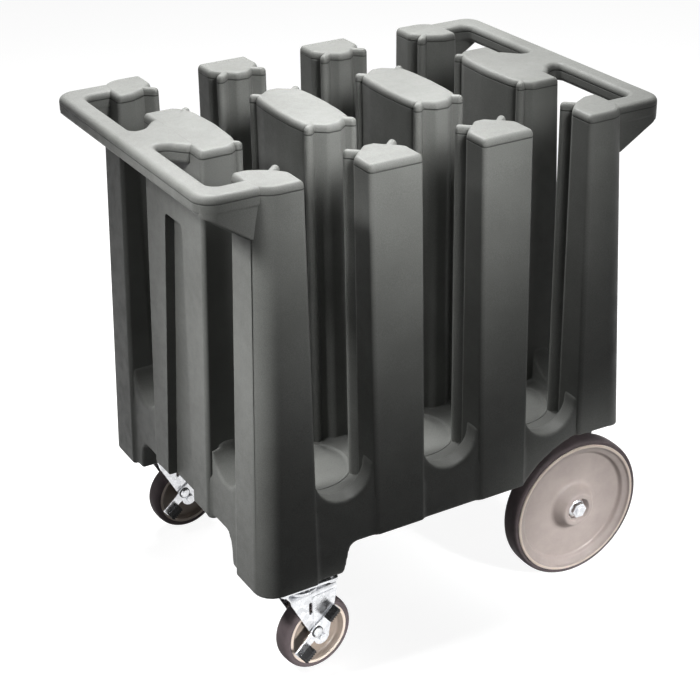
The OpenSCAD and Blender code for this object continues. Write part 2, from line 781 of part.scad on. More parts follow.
// Shelf bent out at each end of the pedal, which carries the pad
module pedal_shelf(x, h, w) {
    translate([x > 0 ? h - w - pad_len : w - h, x > 0 ? w - pedal_t : -w, pedal_t])
        cube([pad_len, pedal_t, shelf_w]);
}

module pedal_pads(s) {
    h = pedal_len / 2;
    w = pedal_w / 2;
    color(black_rubber) pedal_place(s) rotate([90, 0, 0]) for (x = [-1, 1])
        translate([x > 0 ? h - w - pad_len : w - h, x > 0 ? w : -w - pad_t, pedal_t]) cube([pad_len, pad_t, shelf_w]);
}

module right_caster_plate() { caster_plate(-1); }
module left_caster_plate() { caster_plate(1); }
module right_upper_race() { upper_race(-1); }
module left_upper_race() { upper_race(1); }
module right_lower_race() { lower_race(-1); }
module left_lower_race() { lower_race(1); }
module right_swivel_balls() { swivel_balls(-1); }
module left_swivel_balls() { swivel_balls(1); }
module right_fork() { fork(-1); }
module left_fork() { fork(1); }
module right_kingpin() { kingpin(-1); }
module left_kingpin() { kingpin(1); }
module right_kingpin_nut() { kingpin_nut(-1); }
module left_kingpin_nut() { kingpin_nut(1); }
module right_caster_axle() { caster_axle(-1); }
module left_caster_axle() { caster_axle(1); }
module right_caster_nut() { caster_nut(-1); }
module left_caster_nut() { caster_nut(1); }
module right_caster_spacers() { caster_spacers(-1); }
module left_caster_spacers() { caster_spacers(1); }
module right_caster_core() { caster_core(-1); }
module left_caster_core() { caster_core(1); }
module right_caster_tyre() { caster_tyre(-1); }
module left_caster_tyre() { caster_tyre(1); }
module right_caster_bush() { caster_bush(-1); }
module left_caster_bush() { caster_bush(1); }
module right_pedal_pin() { pedal_pin(-1); }
module left_pedal_pin() { pedal_pin(1); }
module right_brake_pedal() { brake_pedal(-1); }
module left_brake_pedal() { brake_pedal(1); }
module right_pedal_pads() { pedal_pads(-1); }
module left_pedal_pads() { pedal_pads(1); }

base_tub();
corner_posts();
side_posts();
end_posts();
centre_posts();
well_fins();
front_handle();
rear_handle();
rear_axle();
axle_brackets();
bracket_bolts();
axle_washers();
axle_nuts();
right_wheel_disc();
right_wheel_tyre();
right_wheel_bush();
left_wheel_disc();
left_wheel_tyre();
left_wheel_bush();
right_caster_plate();
left_caster_plate();
caster_bolts();
right_upper_race();
left_upper_race();
right_lower_race();
left_lower_race();
right_swivel_balls();
left_swivel_balls();
right_fork();
left_fork();
right_kingpin();
left_kingpin();
right_kingpin_nut();
left_kingpin_nut();
right_caster_axle();
left_caster_axle();
right_caster_nut();
left_caster_nut();
right_caster_spacers();
left_caster_spacers();
right_caster_core();
left_caster_core();
right_caster_tyre();
left_caster_tyre();
right_caster_bush();
left_caster_bush();
right_pedal_pin();
left_pedal_pin();
right_brake_pedal();
left_brake_pedal();
right_pedal_pads();
left_pedal_pads();
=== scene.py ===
"""Dish caddy: a moulded tub with twelve posts round six plate wells, two large wheels and two braked casters.

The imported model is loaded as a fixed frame. Each class below is one sub-assembly of the caddy: it holds its sizes in
millimetres, shapes its meshes in the row frame, and hands them over to ride on the body that they belong to.
"""

import json
import logging
import math
from contextlib import contextmanager
from dataclasses import dataclass
from enum import Enum
from typing import Iterable, Iterator, Optional, Sequence

import bmesh
import bpy
from mathutils import Matrix, Vector


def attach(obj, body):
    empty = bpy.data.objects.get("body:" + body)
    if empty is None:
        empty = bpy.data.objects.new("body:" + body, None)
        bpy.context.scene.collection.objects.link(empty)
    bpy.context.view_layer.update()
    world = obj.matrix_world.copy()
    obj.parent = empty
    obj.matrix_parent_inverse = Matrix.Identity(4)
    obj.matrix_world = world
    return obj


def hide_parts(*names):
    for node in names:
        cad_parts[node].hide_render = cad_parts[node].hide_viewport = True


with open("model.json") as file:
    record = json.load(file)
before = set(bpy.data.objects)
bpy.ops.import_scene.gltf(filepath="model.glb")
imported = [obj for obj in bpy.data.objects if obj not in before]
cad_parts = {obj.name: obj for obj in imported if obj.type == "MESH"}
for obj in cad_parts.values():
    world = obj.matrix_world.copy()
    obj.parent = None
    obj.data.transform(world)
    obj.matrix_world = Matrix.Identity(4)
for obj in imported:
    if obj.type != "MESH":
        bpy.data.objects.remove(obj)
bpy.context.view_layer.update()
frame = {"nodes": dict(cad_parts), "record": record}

MM = 0.001  # one millimetre in metres
MERGE = 0.001  # points nearer than this become one, in millimetres
FLAT_RIM = 0.3  # width of the last inset round a crowned face, in millimetres
BOTH = (-1, 1)  # the signs of the two sides of a middle plane
CADDY = "caddy"  # the body that the moulding is part of
log = logging.getLogger("dish_caddy")
Point = Sequence[float]
Profile = Sequence[tuple[float, float]]
Rounds = Sequence[float] | float
Colour = tuple[float, float, float]
Socket = bpy.types.NodeSocket
Shell = bmesh.types.BMesh


class Side(Enum):
    """The two long sides of the caddy, by the sign of Y."""

    RIGHT = -1
    LEFT = 1

    def named(self, part: str) -> str:
        """Returns the name of this side's own node, body or piece."""
        return f"{self.name.lower()}_{part}"


class End(Enum):
    """The two ends of the caddy, by the sign of X."""

    FRONT = -1
    REAR = 1

    def named(self, part: str) -> str:
        """Returns the name of this end's own node or piece."""
        return f"{self.name.lower()}_{part}"


class Ramp(Enum):
    """How a colour ramp passes from one stop to the next."""

    LINEAR = "LINEAR"
    EASE = "EASE"


@dataclass(frozen=True)
class Moulding:
    """Leading sizes of the moulding in millimetres, the same as in the part's source.

    The outer shape leans in from base_len by base_wid at the foot to top_len by top_wid at the top of the posts.
    Row_y is the distance of each row of wells from the middle. Shoulder_y, corner_in, end_half and centre_half say
    where the side, corner, end and centre posts begin or end.
    """

    top: float = 824
    foot: float = 176
    belly: float = 228
    deck: float = 298
    base_len: float = 670
    top_len: float = 620
    base_wid: float = 568
    top_wid: float = 546
    corner_r: float = 34
    well_pitch: float = 188
    side_slot: float = 100
    row_y: float = 143
    well_r: float = 74
    shoulder_y: float = 228
    corner_in: float = 190
    end_half: float = 100
    centre_half: float = 99
    axle_x: float = 270
    axle_z: float = 125
    arch_r: float = 166
    arch_in: float = 205

    @property
    def inner_edge(self) -> float:
        """Returns how far the posts at the ends stand from the middle of the caddy."""
        return self.well_pitch + self.side_slot / 2

    @property
    def post_half(self) -> float:
        """Returns half the length of a side or centre post."""
        return (self.well_pitch - self.side_slot) / 2

    def half_len(self, z: float) -> float:
        """Measures the leaning outer shape along the caddy.

        Args:
            z: the height.

        Returns:
            Half its length at that height.
        """
        return self.base_len / 2 + (self.top_len - self.base_len) / 2 * (z - self.foot) / (self.top - self.foot)

    def half_wid(self, z: float) -> float:
        """Measures the leaning outer shape across the caddy.

        Args:
            z: the height.

        Returns:
            Half its width at that height.
        """
        return self.base_wid / 2 + (self.top_wid - self.base_wid) / 2 * (z - self.foot) / (self.top - self.foot)

    def arch_z(self, x: float) -> float:
        """Finds the underside of a wheel arch.

        Args:
            x: the place along the caddy.

        Returns:
            The arch's height there, or 0 where there is no arch.
        """
        reach = self.arch_r ** 2 - (x - self.axle_x) ** 2
        return self.axle_z + math.sqrt(reach) if reach > 0 else 0.0

    def depth(self, x: float, y: float, z: float) -> float:
        """Measures how deep a point lies in the leaning outer shape.

        Args:
            x: its place along the caddy.
            y: its place across the caddy.
            z: its height.

        Returns:
            The distance from the nearest outer face, below zero for a point outside.
        """
        qx = abs(x) - self.half_len(z) + self.corner_r
        qy = abs(y) - self.half_wid(z) + self.corner_r
        return self.corner_r - math.hypot(max(qx, 0), max(qy, 0)) - min(max(qx, qy), 0)


M = Moulding()


# Finishes


class Shader:
    """Wires the nodes of one material round its principled surface."""

    def __init__(self, name: str) -> None:
        """Starts a material.

        Args:
            name: the material's name.
        """
        self.material = bpy.data.materials.new(name)
        self.material.use_nodes = True
        self.tree = self.material.node_tree
        self.surface = self.tree.nodes["Principled BSDF"]
        self.place = self.add("ShaderNodeTexCoord").outputs["Object"]

    def add(self, kind: str, **settings: object) -> bpy.types.Node:
        """Adds a node and sets its properties.

        Args:
            kind: the node's type name.
            settings: properties of the node by name.

        Returns:
            The new node.
        """
        node = self.tree.nodes.new(kind)
        for key, value in settings.items():
            setattr(node, key, value)
        return node

    def feed(self, node: bpy.types.Node, **values: object) -> bpy.types.Node:
        """Sets or links a node's inputs.

        Args:
            node: the node to feed.
            values: input names, with an underscore for a space, and a value or a socket for each.

        Returns:
            The same node.
        """
        for key, value in values.items():
            name = key.replace("_", " ")
            socket = node.inputs[int(name[1:])] if name[0] == "i" and name[1:].isdigit() else node.inputs[name]
            if isinstance(value, Socket):
                self.tree.links.new(value, socket)
            else:
                socket.default_value = value
        return node

    def noise(self, scale: float, detail: float = 3, rough: float = 0.5, stretch: Optional[Point] = None) -> Socket:
        """Adds a noise in the row frame.

        Args:
            scale: how many cells to the metre.
            detail: how many finer layers.
            rough: how strong the finer layers are.
            stretch: scale along each axis, for streaks.

        Returns:
            The noise's value.
        """
        place = self.place
        if stretch:
            place = self.feed(self.add("ShaderNodeMapping"), Vector=place, Scale=stretch).outputs["Vector"]
        node = self.feed(self.add("ShaderNodeTexNoise"), Vector=place, Scale=scale, Detail=detail, Roughness=rough)
        return node.outputs["Fac"]

    def ramp(self, value: Socket, stops: Iterable[tuple[float, Point]], how: Ramp = Ramp.LINEAR) -> Socket:
        """Adds a colour ramp.

        Args:
            value: what picks the colour.
            stops: place and colour of each stop, in order.
            how: how the colours pass into each other.

        Returns:
            The ramp's colour.
        """
        node = self.add("ShaderNodeValToRGB")
        node.color_ramp.interpolation = how.value
        marks = node.color_ramp.elements
        for i, (at, colour) in enumerate(stops):
            mark = marks[i] if i < 2 else marks.new(at)
            mark.position = at
            mark.color = (*colour, 1)
        self.feed(node, Fac=value)
        return node.outputs["Color"]

    def sums(self, how: str, a: object, b: object = 0.0) -> Socket:
        """Adds a sum.

        Args:
            how: the operation.
            a: its first value or socket.
            b: its second value or socket.

        Returns:
            The result.
        """
        return self.feed(self.add("ShaderNodeMath", operation=how), i0=a, i1=b).outputs[0]

    def blend(self, how: str, factor: object, a: object, b: object) -> Socket:
        """Adds a mix of two colours.

        Args:
            how: the way they are mixed.
            factor: the share of the second colour.
            a: the first colour.
            b: the second colour.

        Returns:
            The mixed colour.
        """
        node = self.add("ShaderNodeMix", data_type="RGBA", blend_type=how)
        return self.feed(node, i0=factor, i6=a, i7=b).outputs[2]

    def bump(self, height: Socket, distance: float, strength: float = 1.0, under: Optional[Socket] = None) -> Socket:
        """Adds a bump.

        Args:
            height: the relief, from 0 to 1.
            distance: how high the relief is, in metres.
            strength: how much of it shows.
            under: a bump that this one lies on.

        Returns:
            The bent normal.
        """
        node = self.feed(self.add("ShaderNodeBump"), Height=height, Distance=distance, Strength=strength)
        if under:
            self.feed(node, Normal=under)
        return node.outputs["Normal"]

    def finish(self, colour: object, rough: object, normal: Optional[Socket] = None, metal: float = 0.0,
               level: float = 0.5) -> bpy.types.Material:
        """Feeds the surface.

        Args:
            colour: base colour or its socket.
            rough: roughness or its socket.
            normal: the bent normal.
            metal: 1 for bare metal.
            level: how strongly a plastic reflects.

        Returns:
            The finished material.
        """
        self.feed(self.surface, Base_Color=colour, Roughness=rough, Metallic=metal)
        self.surface.inputs["Specular IOR Level"].default_value = level
        if normal:
            self.feed(self.surface, Normal=normal)
        return self.material


@dataclass(frozen=True)
class Polyethylene:
    """Charcoal moulded polyethylene: orange peel, faint clouding, scuffs and a parting line under the post tops.

    The parting line lies at height seam_z and is twice seam_half wide, both in metres. The peel's grain is in cells
    to the metre. The level is low, so that a white surround doesn't wash out the dark sides.
    """

    name: str = "charcoal_polyethylene"
    light: Colour = (0.132, 0.135, 0.128)
    dark: Colour = (0.098, 0.1, 0.094)
    peel: float = 520
    peel_depth: float = 0.00035
    seam_z: float = 0.8125
    seam_half: float = 0.0009
    seam_depth: float = 0.0006
    seam_dark: float = 0.4
    level: float = 0.14

    def make(self) -> bpy.types.Material:
        """Makes the finish.

        Returns:
            Its material.
        """
        s = Shader(self.name)
        cloud = s.ramp(s.noise(7, 5, 0.6), [(0.3, self.dark), (0.7, self.light)])
        fleck = s.ramp(s.noise(900, 2), [(0.35, (0.86, 0.86, 0.86)), (0.65, (1.12, 1.12, 1.12))])
        colour = s.blend("MULTIPLY", 1.0, cloud, fleck)
        height = s.add("ShaderNodeSeparateXYZ")
        s.feed(height, Vector=s.place)
        off = s.sums("ABSOLUTE", s.sums("SUBTRACT", height.outputs["Z"], self.seam_z))
        seam = s.ramp(s.sums("DIVIDE", off, 2 * self.seam_half), [(0.35, (0, 0, 0)), (0.75, (1, 1, 1))], Ramp.EASE)
        colour = s.blend("MIX", seam, (*(self.seam_dark * v for v in self.dark), 1), colour)
        scuff = s.ramp(s.noise(60, 6, 0.7), [(0.42, (0.46, 0.46, 0.46)), (0.62, (0.58, 0.58, 0.58))])
        normal = s.bump(s.noise(self.peel, 2, 0.45), self.peel_depth, 0.5)
        normal = s.bump(seam, self.seam_depth, 0.8, normal)
        return s.finish(colour, scuff, normal, level=self.level)


@dataclass(frozen=True)
class SmoothPlastic:
    """Plain moulded plastic of a wheel: slight mottling, uneven gloss and a fine satin texture."""

    name: str
    light: Colour
    dark: Colour
    rough: float = 0.45
    uneven: float = 0.07
    grain: float = 700
    grain_depth: float = 0.0002
    level: float = 0.4

    def make(self) -> bpy.types.Material:
        """Makes the finish.

        Returns:
            Its material.
        """
        s = Shader(self.name)
        colour = s.ramp(s.noise(25, 5, 0.65), [(0.3, self.dark), (0.7, self.light)])
        matt, shiny = (self.rough + self.uneven,) * 3, (self.rough - self.uneven,) * 3
        rough = s.ramp(s.noise(120, 4, 0.6), [(0.35, shiny), (0.65, matt)])
        normal = s.bump(s.noise(self.grain, 2), self.grain_depth, 0.35)
        return s.finish(colour, rough, normal, level=self.level)


@dataclass(frozen=True)
class Rubber:
    """Matt tyre or pad rubber with fine grain and paler scuffed patches."""

    name: str
    light: Colour
    dark: Colour
    grain: float = 1100
    grain_depth: float = 0.00025
    shiny: float = 0.62
    matt: float = 0.8
    level: float = 0.2

    def make(self) -> bpy.types.Material:
        """Makes the finish.

        Returns:
            Its material.
        """
        s = Shader(self.name)
        patch = s.noise(40, 6, 0.7)
        colour = s.ramp(patch, [(0.35, self.dark), (0.62, self.light)])
        rough = s.ramp(patch, [(0.3, (self.shiny,) * 3), (0.7, (self.matt,) * 3)])
        normal = s.bump(s.noise(self.grain, 3, 0.6), self.grain_depth, 0.5)
        return s.finish(colour, rough, normal, level=self.level)


@dataclass(frozen=True)
class ZincSteel:
    """Bright or dull plated steel: faint spangle, fine scratches and uneven gloss."""

    name: str
    light: Colour = (0.83, 0.84, 0.86)
    dark: Colour = (0.66, 0.67, 0.69)
    rough: float = 0.24
    spangle: float = 160
    scratch: float = 500
    scratch_depth: float = 0.00008

    def make(self) -> bpy.types.Material:
        """Makes the finish.

        Returns:
            Its material.
        """
        s = Shader(self.name)
        cells = s.feed(s.add("ShaderNodeTexVoronoi"), Vector=s.place, Scale=self.spangle).outputs["Color"]
        value = s.feed(s.add("ShaderNodeRGBToBW"), Color=cells).outputs["Val"]
        colour = s.ramp(value, [(0.1, self.dark), (0.8, self.light)])
        wear = s.noise(90, 6, 0.7)
        rough = s.ramp(wear, [(0.3, (self.rough - 0.06,) * 3), (0.7, (self.rough + 0.12,) * 3)])
        scratch = s.noise(self.scratch, 3, 0.6, stretch=(1, 1, 7))
        return s.finish(colour, rough, s.bump(scratch, self.scratch_depth, 0.5), metal=1.0)


FINISHES = {
    "moulding": Polyethylene(),
    "wheel_plastic": SmoothPlastic("taupe_wheel_plastic", (0.43, 0.37, 0.345), (0.36, 0.308, 0.286)),
    "tyre": Rubber("brown_grey_tyre", (0.12, 0.097, 0.101), (0.086, 0.069, 0.073)),
    "caster_plastic": SmoothPlastic("brown_grey_caster_plastic", (0.24, 0.195, 0.16), (0.17, 0.137, 0.112), 0.5),
    "bush_plastic": SmoothPlastic("black_bush_plastic", (0.02, 0.02, 0.021), (0.012, 0.012, 0.012), 0.4),
    "pedal_rubber": Rubber("black_pad_rubber", (0.028, 0.028, 0.029), (0.014, 0.014, 0.014)),
    "race_steel": ZincSteel("greased_race_steel", (0.5, 0.5, 0.5), (0.33, 0.33, 0.34), 0.36),
    "zinc_steel": ZincSteel("bright_zinc_steel"),
    # Pale ring finish for the wheels' rim edges: a painted highlight where the rounded rim catches the light, not a
    # paler plastic.
    "rim_highlight": SmoothPlastic("painted_rim_highlight_plastic", (0.72, 0.62, 0.54), (0.6, 0.51, 0.44), 0.4),
}


class Palette:
    """Makes each finish once and hands out its material."""

    def __init__(self) -> None:
        """Starts with no material made."""
        self.made: dict[str, bpy.types.Material] = {}

    def get(self, slot: str) -> bpy.types.Material:
        """Makes a slot's material, or takes the one made before.

        Args:
            slot: a name in FINISHES.

        Returns:
            The material.
        """
        if slot not in self.made:
            self.made[slot] = FINISHES[slot].make()
        return self.made[slot]

    def dress_frame(self) -> None:
        """Gives every CAD node the finish of its slot in the record."""
        slots = {part["node"]: part["material_slot"] for part in frame["record"]["subparts"]}
        for name, node in frame["nodes"].items():
            for place in node.material_slots:
                place.material = self.get(slots[name])


PALETTE = Palette()


# Shaping


class Form:
    """A mesh that is being shaped in millimetres, in the row frame, out of one or more closed shells."""

    def __init__(self) -> None:
        """Starts empty."""
        self.bm = bmesh.new()

    def take(self, shell: Shell, place: Optional[Matrix] = None, material: int = 0) -> None:
        """Adds a finished shell and frees it.

        Args:
            shell: the closed shell.
            place: where it goes.
            material: index of its material on the piece.
        """
        bmesh.ops.remove_doubles(shell, verts=shell.verts[:], dist=MERGE)
        if place is not None:
            bmesh.ops.transform(shell, matrix=place, verts=shell.verts[:])
        bmesh.ops.recalc_face_normals(shell, faces=shell.faces[:])
        for face in shell.faces:
            face.material_index = material
            face.smooth = True
        spare = bpy.data.meshes.new("spare")
        shell.to_mesh(spare)
        shell.free()
        self.bm.from_mesh(spare)
        bpy.data.meshes.remove(spare)

    def mesh(self, name: str) -> bpy.types.Mesh:
        """Writes the shells to a mesh in metres and frees them.

        Args:
            name: the mesh's name.

        Returns:
            The mesh.
        """
        bmesh.ops.scale(self.bm, vec=(MM, MM, MM), verts=self.bm.verts[:])
        mesh = bpy.data.meshes.new(name)
        self.bm.to_mesh(mesh)
        self.bm.free()
        return mesh

    def raw(self, name: str) -> bpy.types.Object:
        """Makes an object of the shells, without finish or body.

        Args:
            name: the object's name.

        Returns:
            The object.
        """
        thing = bpy.data.objects.new(name, self.mesh(name))
        bpy.context.scene.collection.objects.link(thing)
        return thing


def outline(shell: Shell, corners: Sequence[Point], rounds: Sequence[float], segments: int = 5) -> bmesh.types.BMFace:
    """Makes one flat face with rounded corners.

    Args:
        shell: the mesh to make it in.
        corners: its corner points in order.
        rounds: how far along its edges each corner is rounded off, 0 for a sharp one.
        segments: facets in each round.

    Returns:
        The face.
    """
    verts = [shell.verts.new(point) for point in corners]
    shell.faces.new(verts)
    groups: dict[float, list] = {}
    for vert, offset in zip(verts, rounds):
        if offset:
            groups.setdefault(offset, []).append(vert)
    for offset, group in groups.items():
        bmesh.ops.bevel(shell, geom=group, offset=offset, affect="VERTICES", segments=segments, profile=0.5,
                        material=-1)
    shell.faces.ensure_lookup_table()
    return max(shell.faces, key=lambda face: face.calc_area())


def raise_face(shell: Shell, face: bmesh.types.BMFace, by: Point) -> bmesh.types.BMFace:
    """Extrudes a flat face into a closed shell.

    Args:
        shell: the mesh.
        face: the face.
        by: how far and which way.

    Returns:
        The far face.
    """
    made = bmesh.ops.extrude_face_region(shell, geom=[face])["geom"]
    far = next(item for item in made if isinstance(item, bmesh.types.BMFace))
    bmesh.ops.translate(shell, vec=by, verts=far.verts[:])
    bmesh.ops.recalc_face_normals(shell, faces=shell.faces[:])
    return far


def lowest(shell: Shell) -> bmesh.types.BMFace:
    """Returns the face whose middle is lowest."""
    return min(shell.faces, key=lambda face: face.calc_center_median().z)


def crown(shell: Shell, face: bmesh.types.BMFace, inset: float, rise: float, steps: int = 6) -> None:
    """Rounds a flat face over its whole rim, in small insets that follow a quarter ellipse.

    A last narrow inset keeps the shading of the flat face flat.

    Args:
        shell: the mesh.
        face: the flat face, which is moved outwards.
        inset: how far in the round reaches.
        rise: how far the face is moved.
        steps: facets in the round.
    """
    for i in range(steps):
        a, b = (math.pi / 2 * k / steps for k in (i, i + 1))
        bmesh.ops.inset_region(shell, faces=[face], use_boundary=True, use_even_offset=True,
                               thickness=inset * (math.cos(a) - math.cos(b)),
                               depth=rise * (math.sin(b) - math.sin(a)))
    bmesh.ops.inset_region(shell, faces=[face], use_boundary=True, use_even_offset=True, thickness=FLAT_RIM, depth=0)


def block(low: Point, high: Point, bevel: float = 0.0, segments: int = 3) -> Shell:
    """Makes a box between two corners.

    Args:
        low: its lowest corner.
        high: its highest corner.
        bevel: how far its edges are rounded.
        segments: facets in the rounds.

    Returns:
        The closed shell.
    """
    shell = bmesh.new()
    middle = [(a + b) / 2 for a, b in zip(low, high)]
    bmesh.ops.create_cube(shell, size=1)
    bmesh.ops.scale(shell, vec=[b - a for a, b in zip(low, high)], verts=shell.verts[:])
    bmesh.ops.translate(shell, vec=middle, verts=shell.verts[:])
    if bevel:
        round_edges(shell, shell.edges[:], bevel, segments)
    return shell


def round_edges(shell: Shell, edges: Iterable, offset: float, segments: int = 3) -> None:
    """Bevels edges with a round profile, without letting the rounds overlap.

    Args:
        shell: the mesh.
        edges: its edges to round.
        offset: how far along its faces each round reaches.
        segments: facets in each round.
    """
    bmesh.ops.bevel(shell, geom=list(edges), offset=offset, affect="EDGES", segments=segments, profile=0.5,
                    material=-1, clamp_overlap=True)


def lathe(profile: Profile, rounds: Rounds, steps: int = 96, segments: int = 4) -> Shell:
    """Spins a closed profile about Z.

    Args:
        profile: radius and height of its corners, in order.
        rounds: how far each corner is rounded off, or one value for all.
        steps: facets round the axis.
        segments: facets in each round.

    Returns:
        The closed shell.
    """
    shell = bmesh.new()
    if isinstance(rounds, (int, float)):
        rounds = [rounds] * len(profile)
    face = outline(shell, [(r, 0, h) for r, h in profile], rounds, segments)
    bmesh.ops.delete(shell, geom=[face], context="FACES_ONLY")
    bmesh.ops.spin(shell, geom=shell.verts[:] + shell.edges[:], cent=(0, 0, 0), axis=(0, 0, 1), dvec=(0, 0, 0),
                   angle=2 * math.pi, steps=steps, use_merge=True, use_normal_flip=False, use_duplicate=False)
    return shell


def slab(corners: Profile, rounds: Rounds, thick: float, bevel: float = 0.0, segments: int = 4) -> Shell:
    """Makes a plate of a flat outline in XY, standing up from z = 0.

    Args:
        corners: its corners in XY.
        rounds: how far each corner is rounded off, or one value for all.
        thick: its thickness.
        bevel: how far both rims are rounded.
        segments: facets in the corner rounds.

    Returns:
        The closed shell.
    """
    shell = bmesh.new()
    if isinstance(rounds, (int, float)):
        rounds = [rounds] * len(corners)
    face = outline(shell, [(x, y, bevel) for x, y in corners], rounds, segments)
    far = raise_face(shell, face, (0, 0, thick - 2 * bevel))
    if bevel:
        crown(shell, far, bevel, bevel, 3)
        crown(shell, lowest(shell), bevel, bevel, 3)
    return shell


def turned(degrees: float, axis: str) -> Matrix:
    """Returns a turn about one of the row frame's axes."""
    return Matrix.Rotation(math.radians(degrees), 4, axis)


def lone(shell: Shell, name: str) -> bpy.types.Object:
    """Makes an object of one shell, without finish or body.

    Args:
        shell: the closed shell, in millimetres.
        name: the object's name.

    Returns:
        The object.
    """
    form = Form()
    form.take(shell)
    return form.raw(name)


@contextmanager
def reshaped(thing: bpy.types.Object) -> Iterator[Shell]:
    """Opens an object's mesh for shaping in metres, and writes it back with its faces turned outwards.

    Args:
        thing: the object.

    Yields:
        The open mesh.
    """
    shell = bmesh.new()
    shell.from_mesh(thing.data)
    yield shell
    bmesh.ops.recalc_face_normals(shell, faces=shell.faces[:])
    shell.to_mesh(thing.data)
    shell.free()


def carved(thing: bpy.types.Object, cutter: bpy.types.Object, how: str = "DIFFERENCE") -> None:
    """Cuts an object by another with a boolean, and removes the cutter.

    Args:
        thing: the object that is cut.
        cutter: the object that cuts it.
        how: whether the cutter's inside goes or stays.
    """
    mod = thing.modifiers.new("cut", "BOOLEAN")
    mod.operation = how
    mod.solver = "EXACT"
    mod.object = cutter
    settle(thing)
    bpy.data.objects.remove(cutter)


def settle(thing: bpy.types.Object) -> None:
    """Applies an object's modifiers to its mesh.

    Args:
        thing: the object.
    """
    bpy.context.view_layer.update()
    mesh = bpy.data.meshes.new_from_object(thing.evaluated_get(bpy.context.evaluated_depsgraph_get()))
    thing.modifiers.clear()
    thing.data = mesh


def dress(thing: bpy.types.Object, body: str, slots: Sequence[str], nodes: Sequence[str] = (), crease: float = 40,
          weighted: bool = True) -> bpy.types.Object:
    """Finishes a piece: shading, materials, body and the CAD nodes that it stands for.

    Args:
        thing: the piece.
        body: the CAD body that it rides on.
        slots: the record's slot of its first material, and any further finishes.
        nodes: the CAD nodes that it replaces.
        crease: the angle past which an edge is sharp, in degrees.
        weighted: whether large flat faces lead the shading.

    Returns:
        The same piece.
    """
    mesh = thing.data
    for slot in slots:
        mesh.materials.append(PALETTE.get(slot))
    mesh.shade_smooth()
    mesh.set_sharp_from_angle(angle=math.radians(crease))
    if weighted:
        mod = thing.modifiers.new("even shading", "WEIGHTED_NORMAL")
        mod.keep_sharp = True
    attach(thing, body)
    if nodes:
        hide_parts(*nodes)
    log.info("%s on %s: %d faces", thing.name, body, len(mesh.polygons))
    return thing


# Moulding


class Post(Enum):
    """The four kinds of post, named after their CAD nodes."""

    CORNER = "corner_posts"
    SIDE = "side_posts"
    END = "end_posts"
    CENTRE = "centre_posts"


